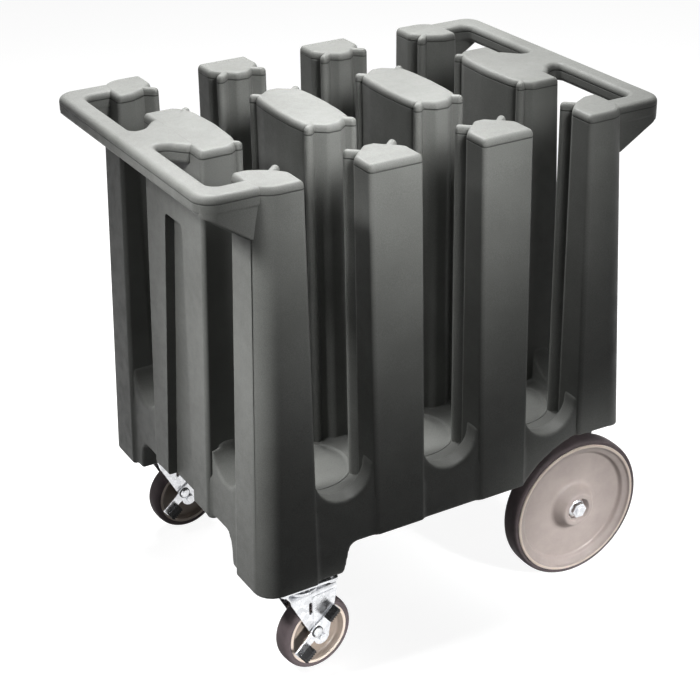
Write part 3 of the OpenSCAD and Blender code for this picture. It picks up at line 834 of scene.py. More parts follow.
@dataclass(frozen=True)
class Posts:
    """The twelve upright posts, with soft tops and leaning outer faces.

    The crown of a post is top_round high and reaches top_inset in. The points of a plan past outer_x or outer_y lie
    on the leaning outer faces. The groove in an end plate is groove_low wide at the belly and groove_high at the top.
    Its lip is rounded wherever it bends by more than groove_bend, in radians. A stub is the foot of a post as part of
    the tub's skin. It reaches stub_sink below the deck, or stub_sink_arch over a wheel arch, and stub_rise above it.
    """

    top_round: float = 9
    top_inset: float = 6.3
    foot_round: float = 5
    edge_round: float = 7
    outer_x: float = 300
    outer_y: float = 250
    seat_sink: float = 12
    belly_gap: float = 0.7
    groove_depth: float = 15.5
    groove_low: float = 94
    groove_high: float = 58
    groove_top: float = 690
    groove_lip: float = 3.5
    groove_bend: float = 0.6
    stub_sink: float = 58
    stub_sink_arch: float = 5
    stub_rise: float = 74
    stub_inset: float = 1.6

    def plan(self, kind: Post) -> tuple[list[tuple[float, float]], list[float]]:
        """Draws a post's plan where x and y are positive.

        Args:
            kind: which kind of post.

        Returns:
            Its corners in order, and how far each is rounded off.
        """
        sy, half, edge = M.shoulder_y, M.post_half, self.edge_round
        wide, long = M.base_wid / 2, M.base_len / 2
        if kind is Post.SIDE:
            inner = [(-half, sy), (12 - half, sy - 14), (26 - half, sy - 26), (-10, sy - 35),
                     (10, sy - 35), (half - 26, sy - 26), (half - 12, sy - 14), (half, sy)]
            plan = [(-half, wide)] + inner + [(half, wide)]
            return [(x + M.well_pitch / 2, y) for x, y in plan], [edge] + [4] * 8 + [edge]
        if kind is Post.CORNER:
            e, c = M.inner_edge, M.corner_in
            return ([(e, wide), (e, sy), (e + 12, sy - 14), (e + 26, sy - 26), (e + 48, c), (long, c), (long, wide)],
                    [edge, 5, 5, 5, 5, edge, M.corner_r])
        if kind is Post.END:
            e, x = M.end_half, M.inner_edge
            return ([(long, e), (x + 24, e), (x + 13, e - 9), (x + 2, e - 34), (x - 2, 0), (x + 2, 34 - e),
                     (x + 13, 9 - e), (x + 24, -e), (long, -e)], [edge, 4, 4, 6, 10, 6, 4, 4, edge])
        c, h = M.centre_half, half
        quarter = [(h, 0), (h - 1.5, c - 54), (h - 5, c - 24), (h - 24, c - 9), (10, c)]
        plan = quarter + [(-x, y) for x, y in reversed(quarter)] + [(-x, -y) for x, y in quarter[1:]]
        plan += [(x, -y) for x, y in reversed(quarter[1:])]
        return [(x + M.well_pitch / 2, y) for x, y in plan], [4] * len(plan)

    def foot_height(self, kind: Post, rear: bool) -> float:
        """Finds the height that a post's shell starts at.

        Args:
            kind: which kind of post.
            rear: whether it stands in the rear half.

        Returns:
            The height.
        """
        if kind is Post.CENTRE:
            return M.deck - self.seat_sink
        if kind is Post.CORNER and not rear:
            return M.foot
        return M.belly + self.belly_gap

    def shell(self, kind: Post, sx: int, sy: int) -> Shell:
        """Shapes one post.

        Args:
            kind: which kind of post.
            sx: 1 for the rear half, -1 for the front half.
            sy: 1 for the left half, -1 for the right half.

        Returns:
            Its closed shell.
        """
        shell = bmesh.new()
        low = self.foot_height(kind, sx > 0)
        corners, rounds = self.plan(kind)
        face = outline(shell, [(x, y, low + self.foot_round) for x, y in corners], rounds, 6)
        top = M.top - self.top_round
        far = raise_face(shell, face, (0, 0, top - low - self.foot_round))
        crown(shell, far, self.top_inset, self.top_round, 7)
        if kind is not Post.CENTRE:
            crown(shell, lowest(shell), self.foot_round, self.foot_round, 4)
        for vert in shell.verts:
            x, y, z = vert.co
            if sx > 0 and z < M.deck and y > M.arch_in:
                vert.co.z = max(z, M.arch_z(x) + z - low)
            vert.co.x -= M.base_len / 2 - M.half_len(z) if x > self.outer_x - self.top_inset else 0
            vert.co.y -= M.base_wid / 2 - M.half_wid(z) if y > self.outer_y else 0
        bmesh.ops.scale(shell, vec=(sx, sy, 1), verts=shell.verts[:])
        return shell

    def stub(self, kind: Post, sx: int, sy: int) -> Shell:
        """Shapes the foot of a post a little smaller than the post, for the tub's skin to run up into.

        Args:
            kind: which kind of post.
            sx: 1 for the rear half, -1 for the front half.
            sy: 1 for the left half, -1 for the right half.

        Returns:
            Its closed shell.
        """
        shell = bmesh.new()
        corners, rounds = self.plan(kind)
        low = M.deck - (self.stub_sink_arch if kind is Post.CORNER and sx > 0 else self.stub_sink)
        face = outline(shell, [(x, y, low) for x, y in corners], rounds, 4)
        raise_face(shell, face, (0, 0, M.deck + self.stub_rise - low))
        xs, ys = ([getattr(v.co, axis) for v in shell.verts] for axis in "xy")
        mid = Vector(((min(xs) + max(xs)) / 2, (min(ys) + max(ys)) / 2, 0))
        fit = (1 - 2 * self.stub_inset / (max(xs) - min(xs)), 1 - 2 * self.stub_inset / (max(ys) - min(ys)), 1)
        behind = self.groove_depth + 2 if kind is Post.END else 0
        for vert in shell.verts:
            vert.co = Vector([m + (c - m) * f for m, c, f in zip(mid, vert.co, fit)])
            x, y, z = vert.co
            vert.co.x -= M.base_len / 2 - M.half_len(z) + behind if x > self.outer_x - 10 else 0
            vert.co.y -= M.base_wid / 2 - M.half_wid(z) if y > self.outer_y - 10 else 0
        bmesh.ops.scale(shell, vec=(sx, sy, 1), verts=shell.verts[:])
        return shell

    def places(self, kind: Post) -> list[tuple[int, int]]:
        """Lists where the posts of a kind stand.

        Args:
            kind: which kind of post.

        Returns:
            The signs of x and y of each.
        """
        across = (1,) if kind in (Post.END, Post.CENTRE) else BOTH
        return [(sx, sy) for sx in BOTH for sy in across]

    def wedge(self, end: End) -> Shell:
        """Shapes the tapered cutter for the groove in an end plate.

        Args:
            end: the end that it cuts.

        Returns:
            The closed cutter, which starts well below the plate.
        """
        low_z, shell = M.belly - 20, bmesh.new()
        low, high, tall = self.groove_low / 2 + 2, self.groove_high / 2, self.groove_top - low_z
        corners = [(-low, -60), (low, -60), (low, 0), (high, tall), (-high, tall), (-low, 0)]
        face = outline(shell, [(0, y, z) for y, z in corners], [0, 0, 0, 8, 8, 0], 5)
        raise_face(shell, face, (2 * self.groove_depth, 0, 0))
        lean = math.atan((M.base_len - M.top_len) / 2 / (M.top - M.foot))
        place = Matrix.Translation((M.half_len(low_z), 0, low_z)) @ Matrix.Rotation(-lean, 4, "Y")
        place = place @ Matrix.Translation((-self.groove_depth, 0, 0))
        bmesh.ops.transform(shell, matrix=Matrix.Scale(end.value, 4, (1, 0, 0)) @ place, verts=shell.verts[:])
        return shell

    def groove_edges(self, shell: Shell) -> list[bmesh.types.BMEdge]:
        """Finds the edges where the grooves meet the outer faces.

        Args:
            shell: the end posts' mesh, in metres.

        Returns:
            The bent edges that lie within 0.6 mm of an outer face and between the sides of a groove.
        """
        found = []
        for edge in shell.edges:
            level = [abs(abs(v.co.x) / MM - M.half_len(v.co.z / MM)) < 0.6 for v in edge.verts]
            inside = [abs(v.co.y) / MM < self.groove_low / 2 + 4 for v in edge.verts]
            if all(level) and all(inside) and edge.calc_face_angle(0) > self.groove_bend:
                found.append(edge)
        return found

    def cut_grooves(self, piece: bpy.types.Object) -> None:
        """Cuts the tapered grooves into the end posts and rounds their lips.

        Args:
            piece: the end posts.
        """
        for end in End:
            carved(piece, lone(self.wedge(end), "groove_cutter"))
        with reshaped(piece) as shell:
            round_edges(shell, self.groove_edges(shell), self.groove_lip * MM, 4)

    def build(self) -> None:
        """Makes a piece for each kind of post."""
        for kind in Post:
            form = Form()
            for sx, sy in self.places(kind):
                form.take(self.shell(kind, sx, sy))
            piece = form.raw(f"{kind.value}_skin")
            if kind is Post.END:
                self.cut_grooves(piece)
            dress(piece, CADDY, ["moulding"], [kind.value], 50)


@dataclass(frozen=True)
class Fins:
    """The round-edged fins, four to a well, that keep the plates in place.

    Each fin is twice its radius thick, and stands at that angle to the length of the caddy, in degrees. Its crown is
    round_up high and reaches round_in in. It starts sink below the deck.
    """

    radius: float = 6.5
    length: float = 26
    angle: float = 44.5
    round_in: float = 5.4
    round_up: float = 7
    sink: float = 6

    def build(self) -> None:
        """Makes all the fins as one piece."""
        form = Form()
        for wx in (-1, 0, 1):
            for wy, sx, sy in ((a, b, c) for a in BOTH for b in BOTH for c in BOTH):
                form.take(self.shell(), self.place(wx * M.well_pitch, wy * M.row_y, sx, sy))
        dress(form.raw("well_fins_skin"), CADDY, ["moulding"], ["well_fins"], 50)

    def shell(self) -> Shell:
        """Shapes one fin whose round edge faces the centre of its well, back along X.

        Returns:
            Its closed shell, with the well's centre at the origin.
        """
        shell, near, r = bmesh.new(), M.well_r, self.radius
        far, low = near + r + self.length, M.deck - self.sink
        corners = [(near, -r), (far, -r), (far, r), (near, r)]
        outline(shell, [(x, y, low) for x, y in corners], [r - 0.01, 0, 0, r - 0.01], 8)
        bmesh.ops.remove_doubles(shell, verts=shell.verts[:], dist=0.1)
        top = raise_face(shell, shell.faces[:][0], (0, 0, M.top - self.round_up - low))
        crown(shell, top, self.round_in, self.round_up, 6)
        return shell

    def place(self, x: float, y: float, sx: int, sy: int) -> Matrix:
        """Places a fin round a well.

        Args:
            x: the well's place along the caddy.
            y: the well's place across the caddy.
            sx: 1 for a fin towards the rear, -1 for one towards the front.
            sy: 1 for a fin to the left of the well, -1 for one to the right.

        Returns:
            The fin's place.
        """
        turn = math.atan2(sy * math.sin(math.radians(self.angle)), sx * math.cos(math.radians(self.angle)))
        return Matrix.Translation((x, y, 0)) @ Matrix.Rotation(turn, 4, "Z")


# Lowest and highest corner of each block that fills a sealed hollow of the tub.
HOLLOWS = (((-301, -200, 236), (301, 200, 291)), ((-301, -271, 236), (99, 271, 291)),
           ((-319, -271, 201), (-200, -181, 291)), ((-319, 181, 201), (-200, 271, 291)))


@dataclass(frozen=True)
class Tub:
    """The lower tub with its deck, recessed panels, low blocks and arches, as one seamless skin.

    The skin is remeshed at the size of a voxel, smoothed in a number of passes, and thinned to the kept share of its
    faces. Before that the faces under the posts are drawn in by the inset, so that the posts' own skins cover them.
    Post_x, post_y and end_y tell the faces of the posts apart, and the groove_ sizes bound the grooves' walls.
    """

    voxel: float = 3.0
    passes: int = 4
    kept: float = 0.42
    inset: float = 1.6
    skin: float = 3
    slack: float = 1
    foot_gap: float = 1.5
    post_x: float = 200
    post_y: float = 150
    end_y: float = 60
    groove_y: float = 51
    groove_x: float = 290
    groove_in: float = 10
    seat_r: float = 72

    def moves(self, x: float, y: float, z: float) -> tuple[float, float]:
        """Finds how far a point of an outer face is moved, where x and y are positive.

        Args:
            x: its place along the caddy.
            y: its place across the caddy.
            z: its height.

        Returns:
            How far it moves along x and along y, away from the middle.
        """
        long, wide, by = M.half_len(z), M.half_wid(z), self.inset
        if x > long - M.corner_r - 2 and y > wide - M.corner_r - 2:
            return -0.75 * by, -0.75 * by
        if y > wide - self.skin:
            return (by if x > self.post_x or x < M.well_pitch / 2 else -by), -by
        if y > self.end_y:
            return -by, (by if y > self.post_y else -by)
        return -by, 0.0

    def shrink_feet(self, shell: Shell) -> None:
        """Draws the post faces of the tub inside the posts' own skins, and the groove walls out of theirs.

        Args:
            shell: the tub's mesh, in millimetres.
        """
        for vert in shell.verts:
            x, y, z = vert.co
            sx, sy = math.copysign(1, x), math.copysign(1, y)
            low = z < M.deck + self.slack
            if low and M.depth(x, y, z) < self.skin:
                dx, dy = self.moves(abs(x), abs(y), z)
                vert.co.x += sx * dx
                vert.co.y += sy * dy
            if low and abs(y) < self.groove_y and abs(x) > self.groove_x:
                vert.co.y = y + sy * self.inset
                if M.half_len(z) - abs(x) > self.groove_in:
                    vert.co.x = x - sx * self.inset
            if z < M.foot + self.slack:
                vert.co.z += self.foot_gap

    def fillers(self) -> list[Shell]:
        """Makes the blocks that fill the tub's sealed hollows, and the stubs of the posts.

        Returns:
            Their shells. None of the blocks shows.
        """
        blocks = [block(low, high) for low, high in HOLLOWS]
        posts = Posts()
        for kind in Post:
            blocks += [posts.stub(kind, sx, sy) for sx, sy in posts.places(kind)]
        return blocks

    def build(self) -> None:
        """Makes the tub's skin and the round seats of its wells."""
        form = Form()
        shell = bmesh.new()
        shell.from_mesh(frame["nodes"]["base_tub"].data)
        bmesh.ops.scale(shell, vec=(1 / MM, 1 / MM, 1 / MM), verts=shell.verts[:])
        bmesh.ops.remove_doubles(shell, verts=shell.verts[:], dist=0.01)
        self.shrink_feet(shell)
        form.take(shell)
        for filler in self.fillers():
            form.take(filler)
        piece = form.raw("base_tub_skin")
        mod = piece.modifiers.new("skin", "REMESH")
        mod.mode = "VOXEL"
        mod.voxel_size = self.voxel * MM
        settle(piece)
        with reshaped(piece) as shell:
            for _ in range(self.passes):
                bmesh.ops.smooth_vert(shell, verts=shell.verts[:], factor=0.5, use_axis_x=True, use_axis_y=True,
                                      use_axis_z=True)
        mod = piece.modifiers.new("fewer faces", "DECIMATE")
        mod.ratio = self.kept
        settle(piece)
        dress(piece, CADDY, ["moulding"], ["base_tub"], 180, weighted=False)
        self.seats()

    def seats(self) -> None:
        """Makes the shallow round recesses that the plate stacks stand in."""
        form, r, z = Form(), self.seat_r, M.deck
        profile = [(r + 3.5, z - 5), (r + 3.5, z + 0.4), (r + 1.5, z + 0.6), (r - 2, z - 3.2), (4, z - 3.2),
                   (4, z - 5)]
        for wx in (-1, 0, 1):
            for s in Side:
                seat = lathe(profile, [0, 0.6, 1.2, 2, 0, 0], 72)
                form.take(seat, Matrix.Translation((wx * M.well_pitch, s.value * M.row_y, 0)))
        dress(form.raw("well_seats"), CADDY, ["moulding"])


@dataclass(frozen=True)
class Handle:
    """A handle at one end: a bar, two outer arms on gussets and a wide centre arm.

    Reach is how far the bar's outer face is from the middle of the caddy, and half is how far the outer arms' outer
    faces are. The arms start at root, behind the face of the posts. Flare is half the centre arm's width there.
    The upper and lower edges are rounded by top_round and foot_round, and the top lies lip under the posts' tops.
    A gusset hangs drop below the bar, and its slope starts at gusset_x. It loses slim of its width towards its foot.
    The places in cuts, measured in from the bar's outer face, give it points that follow the bar's round corner.
    """

    end: End
    reach: float = 388
    bar: float = 34
    height: float = 30
    half: float = 262
    arm: float = 40
    centre_half: float = 38
    root: float = 294.7
    flare: float = 66
    corner: float = 30
    top_round: float = 9
    foot_round: float = 8
    lip: float = 0.15
    drop: float = 46
    gusset_x: float = 317
    gusset_round: float = 5
    slim: float = 0.4
    inset: float = 0.1
    cuts: tuple[float, ...] = (27, 19, 12, 7)

    def ladder(self) -> Shell:
        """Shapes the flat frame of bar and arms with soft edges.

        Returns:
            The closed shell, as it is at the rear.
        """
        inner, arm_in = self.reach - self.bar, self.half - self.arm
        half = [(self.root, self.flare), (312, self.flare), (inner - 18, self.centre_half), (inner, self.centre_half),
                (inner, arm_in), (self.root, arm_in), (self.root, self.half), (self.reach, self.half)]
        rounds = [0, 6, 9, 11, 15, 0, 0, self.corner]
        corners = half + [(x, -y) for x, y in reversed(half)]
        shell = bmesh.new()
        low = M.top - self.height
        face = outline(shell, [(x, y, low + self.foot_round) for x, y in corners], rounds + rounds[::-1], 8)
        top = raise_face(shell, face, (0, 0, self.height - self.top_round - self.foot_round - self.lip))
        crown(shell, top, self.top_round, self.top_round, 7)
        crown(shell, lowest(shell), self.foot_round, self.foot_round, 6)
        return shell

    def gusset(self, side: Side) -> Shell:
        """Shapes the rounded wedge under an outer arm.

        Args:
            side: the side that it is on.

        Returns:
            The closed shell, as it is at the rear. It follows the bar's round corner.
        """
        shell, wide, under = bmesh.new(), self.arm / 2 - self.inset, M.top - self.height
        foot, tip, top = under - self.drop, self.reach - 4, M.top - 10
        corners = [(self.root, foot), (self.gusset_x, foot), (tip, under + 1), (tip, top), (self.root, top)]
        face = outline(shell, [(x, -wide, z) for x, z in corners], [0] * 5)
        raise_face(shell, face, (0, 2 * wide, 0))
        rims = [e for e in shell.edges if all(v.co.z < under + 2 for v in e.verts) and e.calc_length() > 20
                and abs(e.verts[0].co.y - e.verts[1].co.y) < 1 and max(v.co.x for v in e.verts) > self.gusset_x + 1]
        round_edges(shell, rims, self.gusset_round, 4)
        for back in self.cuts:
            bmesh.ops.bisect_plane(shell, geom=shell.verts[:] + shell.edges[:] + shell.faces[:], dist=MERGE,
                                   plane_co=(self.reach - back, 0, 0), plane_no=(1, 0, 0))
        for vert in shell.verts:
            down = min(max((under - vert.co.z) / self.drop, 0), 1)
            past = max(vert.co.x - self.reach + self.corner, 0)
            edge = self.half - self.corner + math.sqrt(self.corner ** 2 - past ** 2) - self.inset
            out = vert.co.y * (1 - self.slim * down) * side.value + self.half - self.arm / 2
            vert.co.y = side.value * min(out, edge)
        return shell

    def build(self) -> None:
        """Makes the handle."""
        form, turn = Form(), Matrix.Scale(self.end.value, 4, (1, 0, 0))
        form.take(self.ladder(), turn)
        for side in Side:
            form.take(self.gusset(side), turn)
        dress(form.raw(self.end.named("handle_skin")), CADDY, ["moulding"], [self.end.named("handle")], 50)


# Running gear


@dataclass(frozen=True)
class LargeWheel:
    """A large wheel with a dished disc, a rim lip carrying a ring of painted highlight and a smooth tyre.

    Out is how far the tyre's outer face is from the middle of the caddy. Each profile lists radii and distances.
    """

    side: Side
    out: float = 248
    tyre_w: float = 34
    rim_r: float = 116.5
    wheel_r: float = 125
    facets: int = 128

    def place(self) -> Matrix:
        """Returns the wheel's place, with the profile's height along the outward axle."""
        return (Matrix.Translation((M.axle_x, 0, M.axle_z)) @ Matrix.Scale(self.side.value, 4, (0, 1, 0))
                @ turned(-90, "X"))

    def build(self) -> None:
        """Makes the disc with its rim lip and a ring of painted highlight over the lip, and the tyre."""
        o, i, rim, r = self.out, self.out - self.tyre_w, self.rim_r, self.wheel_r
        disc = [(12.4, i - 2), (28, i - 2), (32, i + 8), (rim - 16, i + 12), (rim - 9, i + 1), (rim, i + 1),
                (rim, o - 1), (rim - 1.5, o + 1), (rim - 5.2, o + 1), (rim - 7, o - 2.5), (rim - 11, o - 4.2),
                (rim - 15.5, o - 5.4), (rim - 19, o - 12.5), (46, o - 12.5), (41, o - 10.5), (31.5, o + 4.5),
                (28.5, o + 8), (21, o + 8), (19.5, o + 4), (18, o - 2), (12.4, o - 2)]
        rounds = [0, 1.5, 4, 4, 3, 0, 0.3, 0.8, 1.2, 1.2, 2, 1.8, 2.6, 3, 3, 1.6, 1.6, 1, 0.8, 0.4, 0]
        form = Form()
        form.take(lathe(disc, rounds, self.facets), self.place())
        # A pale ring over the rim lip: a painted highlight on the lip's rounded edge.
        lip = [(rim - 4.6, o - 1), (rim - 4.6, o + 1.2), (rim - 0.6, o + 1.2), (rim + 0.2, o + 0.3),
               (rim + 0.2, o - 1)]
        form.take(lathe(lip, [0, 0.8, 0.8, 0.4, 0], self.facets), self.place(), 1)
        dress(form.raw(self.side.named("wheel_disc_skin")), self.side.named("wheel"), ["wheel_plastic", "rim_highlight"],
              [self.side.named("wheel_disc")], 45)
        tyre = [(rim - 0.1, i + 1.2), (r - 3.2, i), (r - 0.9, i + 3.4), (r, i + 9), (r, o - 9), (r - 0.9, o - 3.4),
                (r - 3.2, o), (rim - 0.1, o - 1.2)]
        form = Form()
        form.take(lathe(tyre, [0, 1.6, 1.6, 3, 3, 1.6, 1.6, 0], self.facets), self.place())
        dress(form.raw(self.side.named("wheel_tyre_skin")), self.side.named("wheel"), ["tyre"],
              [self.side.named("wheel_tyre")], 60)


@dataclass(frozen=True)
class AxleNuts:
    """The two hexagon nuts on the ends of the axle, each on a round flange."""

    out: float = 248.8
    radius: float = 13.8
    height: float = 9.6

    def build(self) -> None:
        """Makes both nuts as one piece, with the ends of the axle that show in them."""
        form = Form()
        flange = [(8.2, 0), (15.6, 0), (15.6, 1), (13, 2.6), (8.2, 2.6)]
        axle_end = [(0, 8), (7.9, 8), (7.9, 11.3), (6.9, 12.3), (0, 12.3)]
        for side in Side:
            place = LargeWheel(side).place() @ Matrix.Translation((0, 0, self.out))
            form.take(hex_head(self.radius, self.height), place)
            form.take(lathe(flange, [0, 0.3, 0.5, 0.8, 0], 48), place)
            form.take(lathe(axle_end, [0, 0, 0.3, 0.3, 0], 40), place)
        dress(form.raw("axle_nuts_skin"), CADDY, ["zinc_steel"], ["axle_nuts"], 30)


def hex_head(radius: float, height: float) -> Shell:
    """Makes a hexagon head with chamfered corners, standing on z = 0.

    Args:
        radius: across its corners, halved.
        height: its height.

    Returns:
        The closed shell.
    """
    corners = [(radius * math.cos(math.radians(60 * k)), radius * math.sin(math.radians(60 * k))) for k in range(6)]
    return slab(corners, 1.0, height, 0.9, 2)


@dataclass(frozen=True)
class Caster:
    """A swivel caster with a two-legged fork, a smooth wheel and a rocker pedal with ribbed pads.

    Yaw is how far the fork is turned about the stem, and tilt how far the pedal is, in degrees. The fork's legs run
    from leg_in to leg_out on both sides of the stem, and its crown is at crown_z. The pedal's pin is at pivot_x and
    pivot_z, and the pedal starts pedal_in to the right of the stem. The wheel's core and tyre have so many facets.
    """

    side: Side
    yaw: float
    stem_x: float = 252
    stem_y: float = 238
    trail: float = 24
    radius: float = 62.5
    leg_out: float = 24
    leg_in: float = 20
    crown_z: float = 150.05
    core_r: float = 52.5
    pivot_x: float = 13
    pivot_z: float = 78.5
    tilt: float = 39
    pedal_in: float = 25.5
    pedal_len: float = 98
    pedal_w: float = 16
    fork_end: float = 60
    fork_start: float = -34
    leg_low: float = 44
    leg_r: float = 14
    facets: int = 96

    def stem(self) -> Matrix:
        """Returns the place of the caster's square-set part."""
        return Matrix.Translation((-self.stem_x, self.side.value * self.stem_y, 0))

    def swung(self) -> Matrix:
        """Returns the place of the caster's swivelling part."""
        return self.stem() @ turned(self.yaw, "Z")

    def hub(self) -> Matrix:
        """Returns the place of the wheel, with the profile's height along its axle."""
        return self.swung() @ Matrix.Translation((self.trail, 0, self.radius)) @ turned(-90, "X")

    def pedal(self) -> Matrix:
        """Returns the place of the pedal, with its thickness outwards."""
        return (self.swung() @ Matrix.Translation((self.pivot_x, -self.pedal_in, self.pivot_z))
                @ turned(-self.tilt, "Y") @ turned(90, "X"))

    def build(self) -> None:
        """Makes the caster from its plate down."""
        self.plate()
        self.fork()
        self.wheel()
        self.rocker()

    def piece(self, form: Form, part: str, body: str, slots: Sequence[str], nodes: Sequence[str],
              crease: float = 35) -> bpy.types.Object:
        """Dresses one of this caster's pieces.

        Args:
            form: its shells.
            part: its name without the side.
            body: its body without the side, or the caddy.
            slots: its finishes.
            nodes: the nodes that it replaces, without the side.
            crease: the angle past which its edges are sharp.

        Returns:
            The piece.
        """
        on = body if body == CADDY else self.side.named(body)
        return dress(form.raw(self.side.named(part)), on, slots, [self.side.named(node) for node in nodes], crease)

    def plate(self) -> None:
        """Makes the mounting plate, and the two races under it as pressed cups."""
        form = Form()
        corners = [(-50, -41), (50, -41), (50, 41), (-50, 41)]
        form.take(slab(corners, 8, 4, 0.8), self.stem() @ Matrix.Translation((0, 0, 172)))
        self.piece(form, "caster_plate_skin", CADDY, ["zinc_steel"], ["caster_plate"])
        form = Form()
        form.take(lathe([(6.2, 164.6), (22, 164.6), (26.5, 163.6), (27.5, 166), (24, 171.9), (6.2, 171.9)],
                        [0, 1, 1, 1, 1.5, 0], 64), self.stem())
        self.piece(form, "upper_race_skin", CADDY, ["zinc_steel"], ["upper_race"])
        form = Form()
        form.take(lathe([(6.2, 150.1), (25, 150.1), (29, 152.5), (30, 157.5), (27.5, 158), (6.2, 158)],
                        [0, 1, 1.2, 1, 0.8, 0], 64), self.swung())
        self.piece(form, "lower_race_skin", "swivel", ["zinc_steel"], ["lower_race"])

    def fork(self) -> None:
        """Makes the fork: a channel bent from one sheet, cut to the outline of its legs, with a slot."""
        fork = lone(self.channel(), self.side.named("fork_skin"))
        carved(fork, lone(self.leg_outline(), "leg_outline"), "INTERSECT")
        with reshaped(fork) as shell:
            bmesh.ops.dissolve_limit(shell, angle_limit=math.radians(0.2), verts=shell.verts[:], edges=shell.edges[:])
            round_edges(shell, [e for e in shell.edges if e.calc_face_angle(0) > 0.9], 0.7 * MM, 2)
        slot = slab([(-3, -11), (3, -11), (3, 11), (-3, 11)], 2.9, 60)
        place = Matrix.Translation((self.pivot_x - 8, 30, self.crown_z - 28)) @ turned(90, "X")
        bmesh.ops.transform(slot, matrix=place, verts=slot.verts[:])
        carved(fork, lone(slot, "slot_cutter"))
        fork.data.transform(Matrix.Scale(MM, 4) @ self.swung() @ Matrix.Scale(1 / MM, 4))
        dress(fork, self.side.named("swivel"), ["zinc_steel"], [self.side.named("fork")], 35)
        form, top = Form(), self.crown_z - 8
        step = slab([(9, 80), (15, 70), (34, 70), (51, 128), (52, top), (9, top)], 2.5, 0.9, 0.4, 3)
        form.take(step, self.swung() @ Matrix.Translation((0, -self.leg_out, 0)) @ turned(90, "X"))
        self.piece(form, "leg_facing", "swivel", ["zinc_steel"], [])

    def channel(self) -> Shell:
        """Shapes the upturned channel that the fork is cut from.

        Returns:
            Its closed shell, with the stem at the origin.
        """
        shell = bmesh.new()
        o, i, low, top, start = self.leg_out, self.leg_in, self.leg_low, self.crown_z, self.fork_start
        corners = [(-o, low), (-i, low), (-i, top - 4), (i, top - 4), (i, low), (o, low), (o, top), (-o, top)]
        face = outline(shell, [(start, y, z) for y, z in corners], [0, 0, 2.5, 2.5, 0, 0, 6, 6], 5)
        raise_face(shell, face, (self.fork_end - start, 0, 0))
        return shell

    def leg_outline(self) -> Shell:
        """Shapes the block that keeps the fork's legs and crown, and drops the rest of the channel.

        Returns:
            Its closed shell, with the stem at the origin.
        """
        shell = bmesh.new()
        t, r, top = self.trail, self.leg_r, self.crown_z
        corners = [(-29, top + 2), (-29, top - 8), (-25, top - 18), (t - r, 64), (t - r, 48.5), (t + r, 48.5),
                   (t + r, 64), (53, top - 20), (55, top - 8), (55, top + 2)]
        face = outline(shell, [(x, 60, z) for x, z in corners], [0, 4, 0, 0, 13.9, 13.9, 0, 0, 4, 0], 8)
        raise_face(shell, face, (0, -120, 0))
        return shell

    def wheel(self) -> None:
        """Makes the core with its rim rings painted pale as a highlight, the tyre and the ends of the axle."""
        w, t, c, r = 18, 16, self.core_r, self.radius
        core = [(8.2, -w), (15, -w), (18, -t + 7), (c - 12, -t + 8.5), (c - 7, -t + 2), (c - 4.6, -t + 0.6),
                (c, -t + 0.6), (c, t - 0.6), (c - 4.6, t - 0.6), (c - 7, t - 2), (c - 12, t - 8.5), (18, t - 7),
                (15, w), (8.2, w)]
        form = Form()
        form.take(lathe(core, [0, 1.2, 3, 3, 2, 1, 0, 0, 1, 2, 3, 3, 1.2, 0], self.facets), self.hub())
        # Pale rings at the core's rim edges: a painted highlight on the rounded edges.
        for s in BOTH:
            ring = [(c - 5.4, s * (t - 1.4)), (c - 5, s * (t - 0.1)), (c - 1.6, s * t), (c - 0.4, s * (t - 0.4)),
                    (c - 0.4, s * (t - 2.4)), (c - 5.4, s * (t - 2.4))]
            form.take(lathe(ring, [0, 0.6, 0.6, 0.3, 0, 0], self.facets), self.hub(), 1)
        self.piece(form, "caster_core_skin", "caster_wheel", ["caster_plastic", "rim_highlight"], ["caster_core"], 45)
        form = Form()
        tyre = [(c - 0.2, -t + 0.3), (r - 5, -t), (r - 1.3, -t + 3.6), (r, -t + 10), (r, t - 10), (r - 1.3, t - 3.6),
                (r - 5, t), (c - 0.2, t - 0.3)]
        form.take(lathe(tyre, [0, 1.8, 2, 3, 3, 2, 1.8, 0], self.facets), self.hub())
        self.piece(form, "caster_tyre_skin", "caster_wheel", ["tyre"], ["caster_tyre"], 60)
        form = Form()
        form.take(hex_head(7.6, 6), self.hub() @ Matrix.Translation((0, 0, -self.leg_out - 6)))
        shaft = [(0, -40), (5, -40), (5, 29), (4.2, 30), (0, 30)]
        form.take(lathe(shaft, [0, 0, 0.4, 0.4, 0], 32), self.hub() @ Matrix.Diagonal((1, 1, 0.6, 1)))
        form.take(lathe([(0, 14), (5, 14), (5, 31), (4.2, 32), (0, 32)], [0, 0, 0.4, 0.4, 0], 32), self.hub())
        self.piece(form, "caster_axle_skin", "swivel", ["zinc_steel"], ["caster_axle"])
        form = Form()
        form.take(hex_head(8.6, 6), self.hub() @ Matrix.Translation((0, 0, self.leg_out)))
        self.piece(form, "caster_nut_skin", "swivel", ["zinc_steel"], ["caster_nut"])

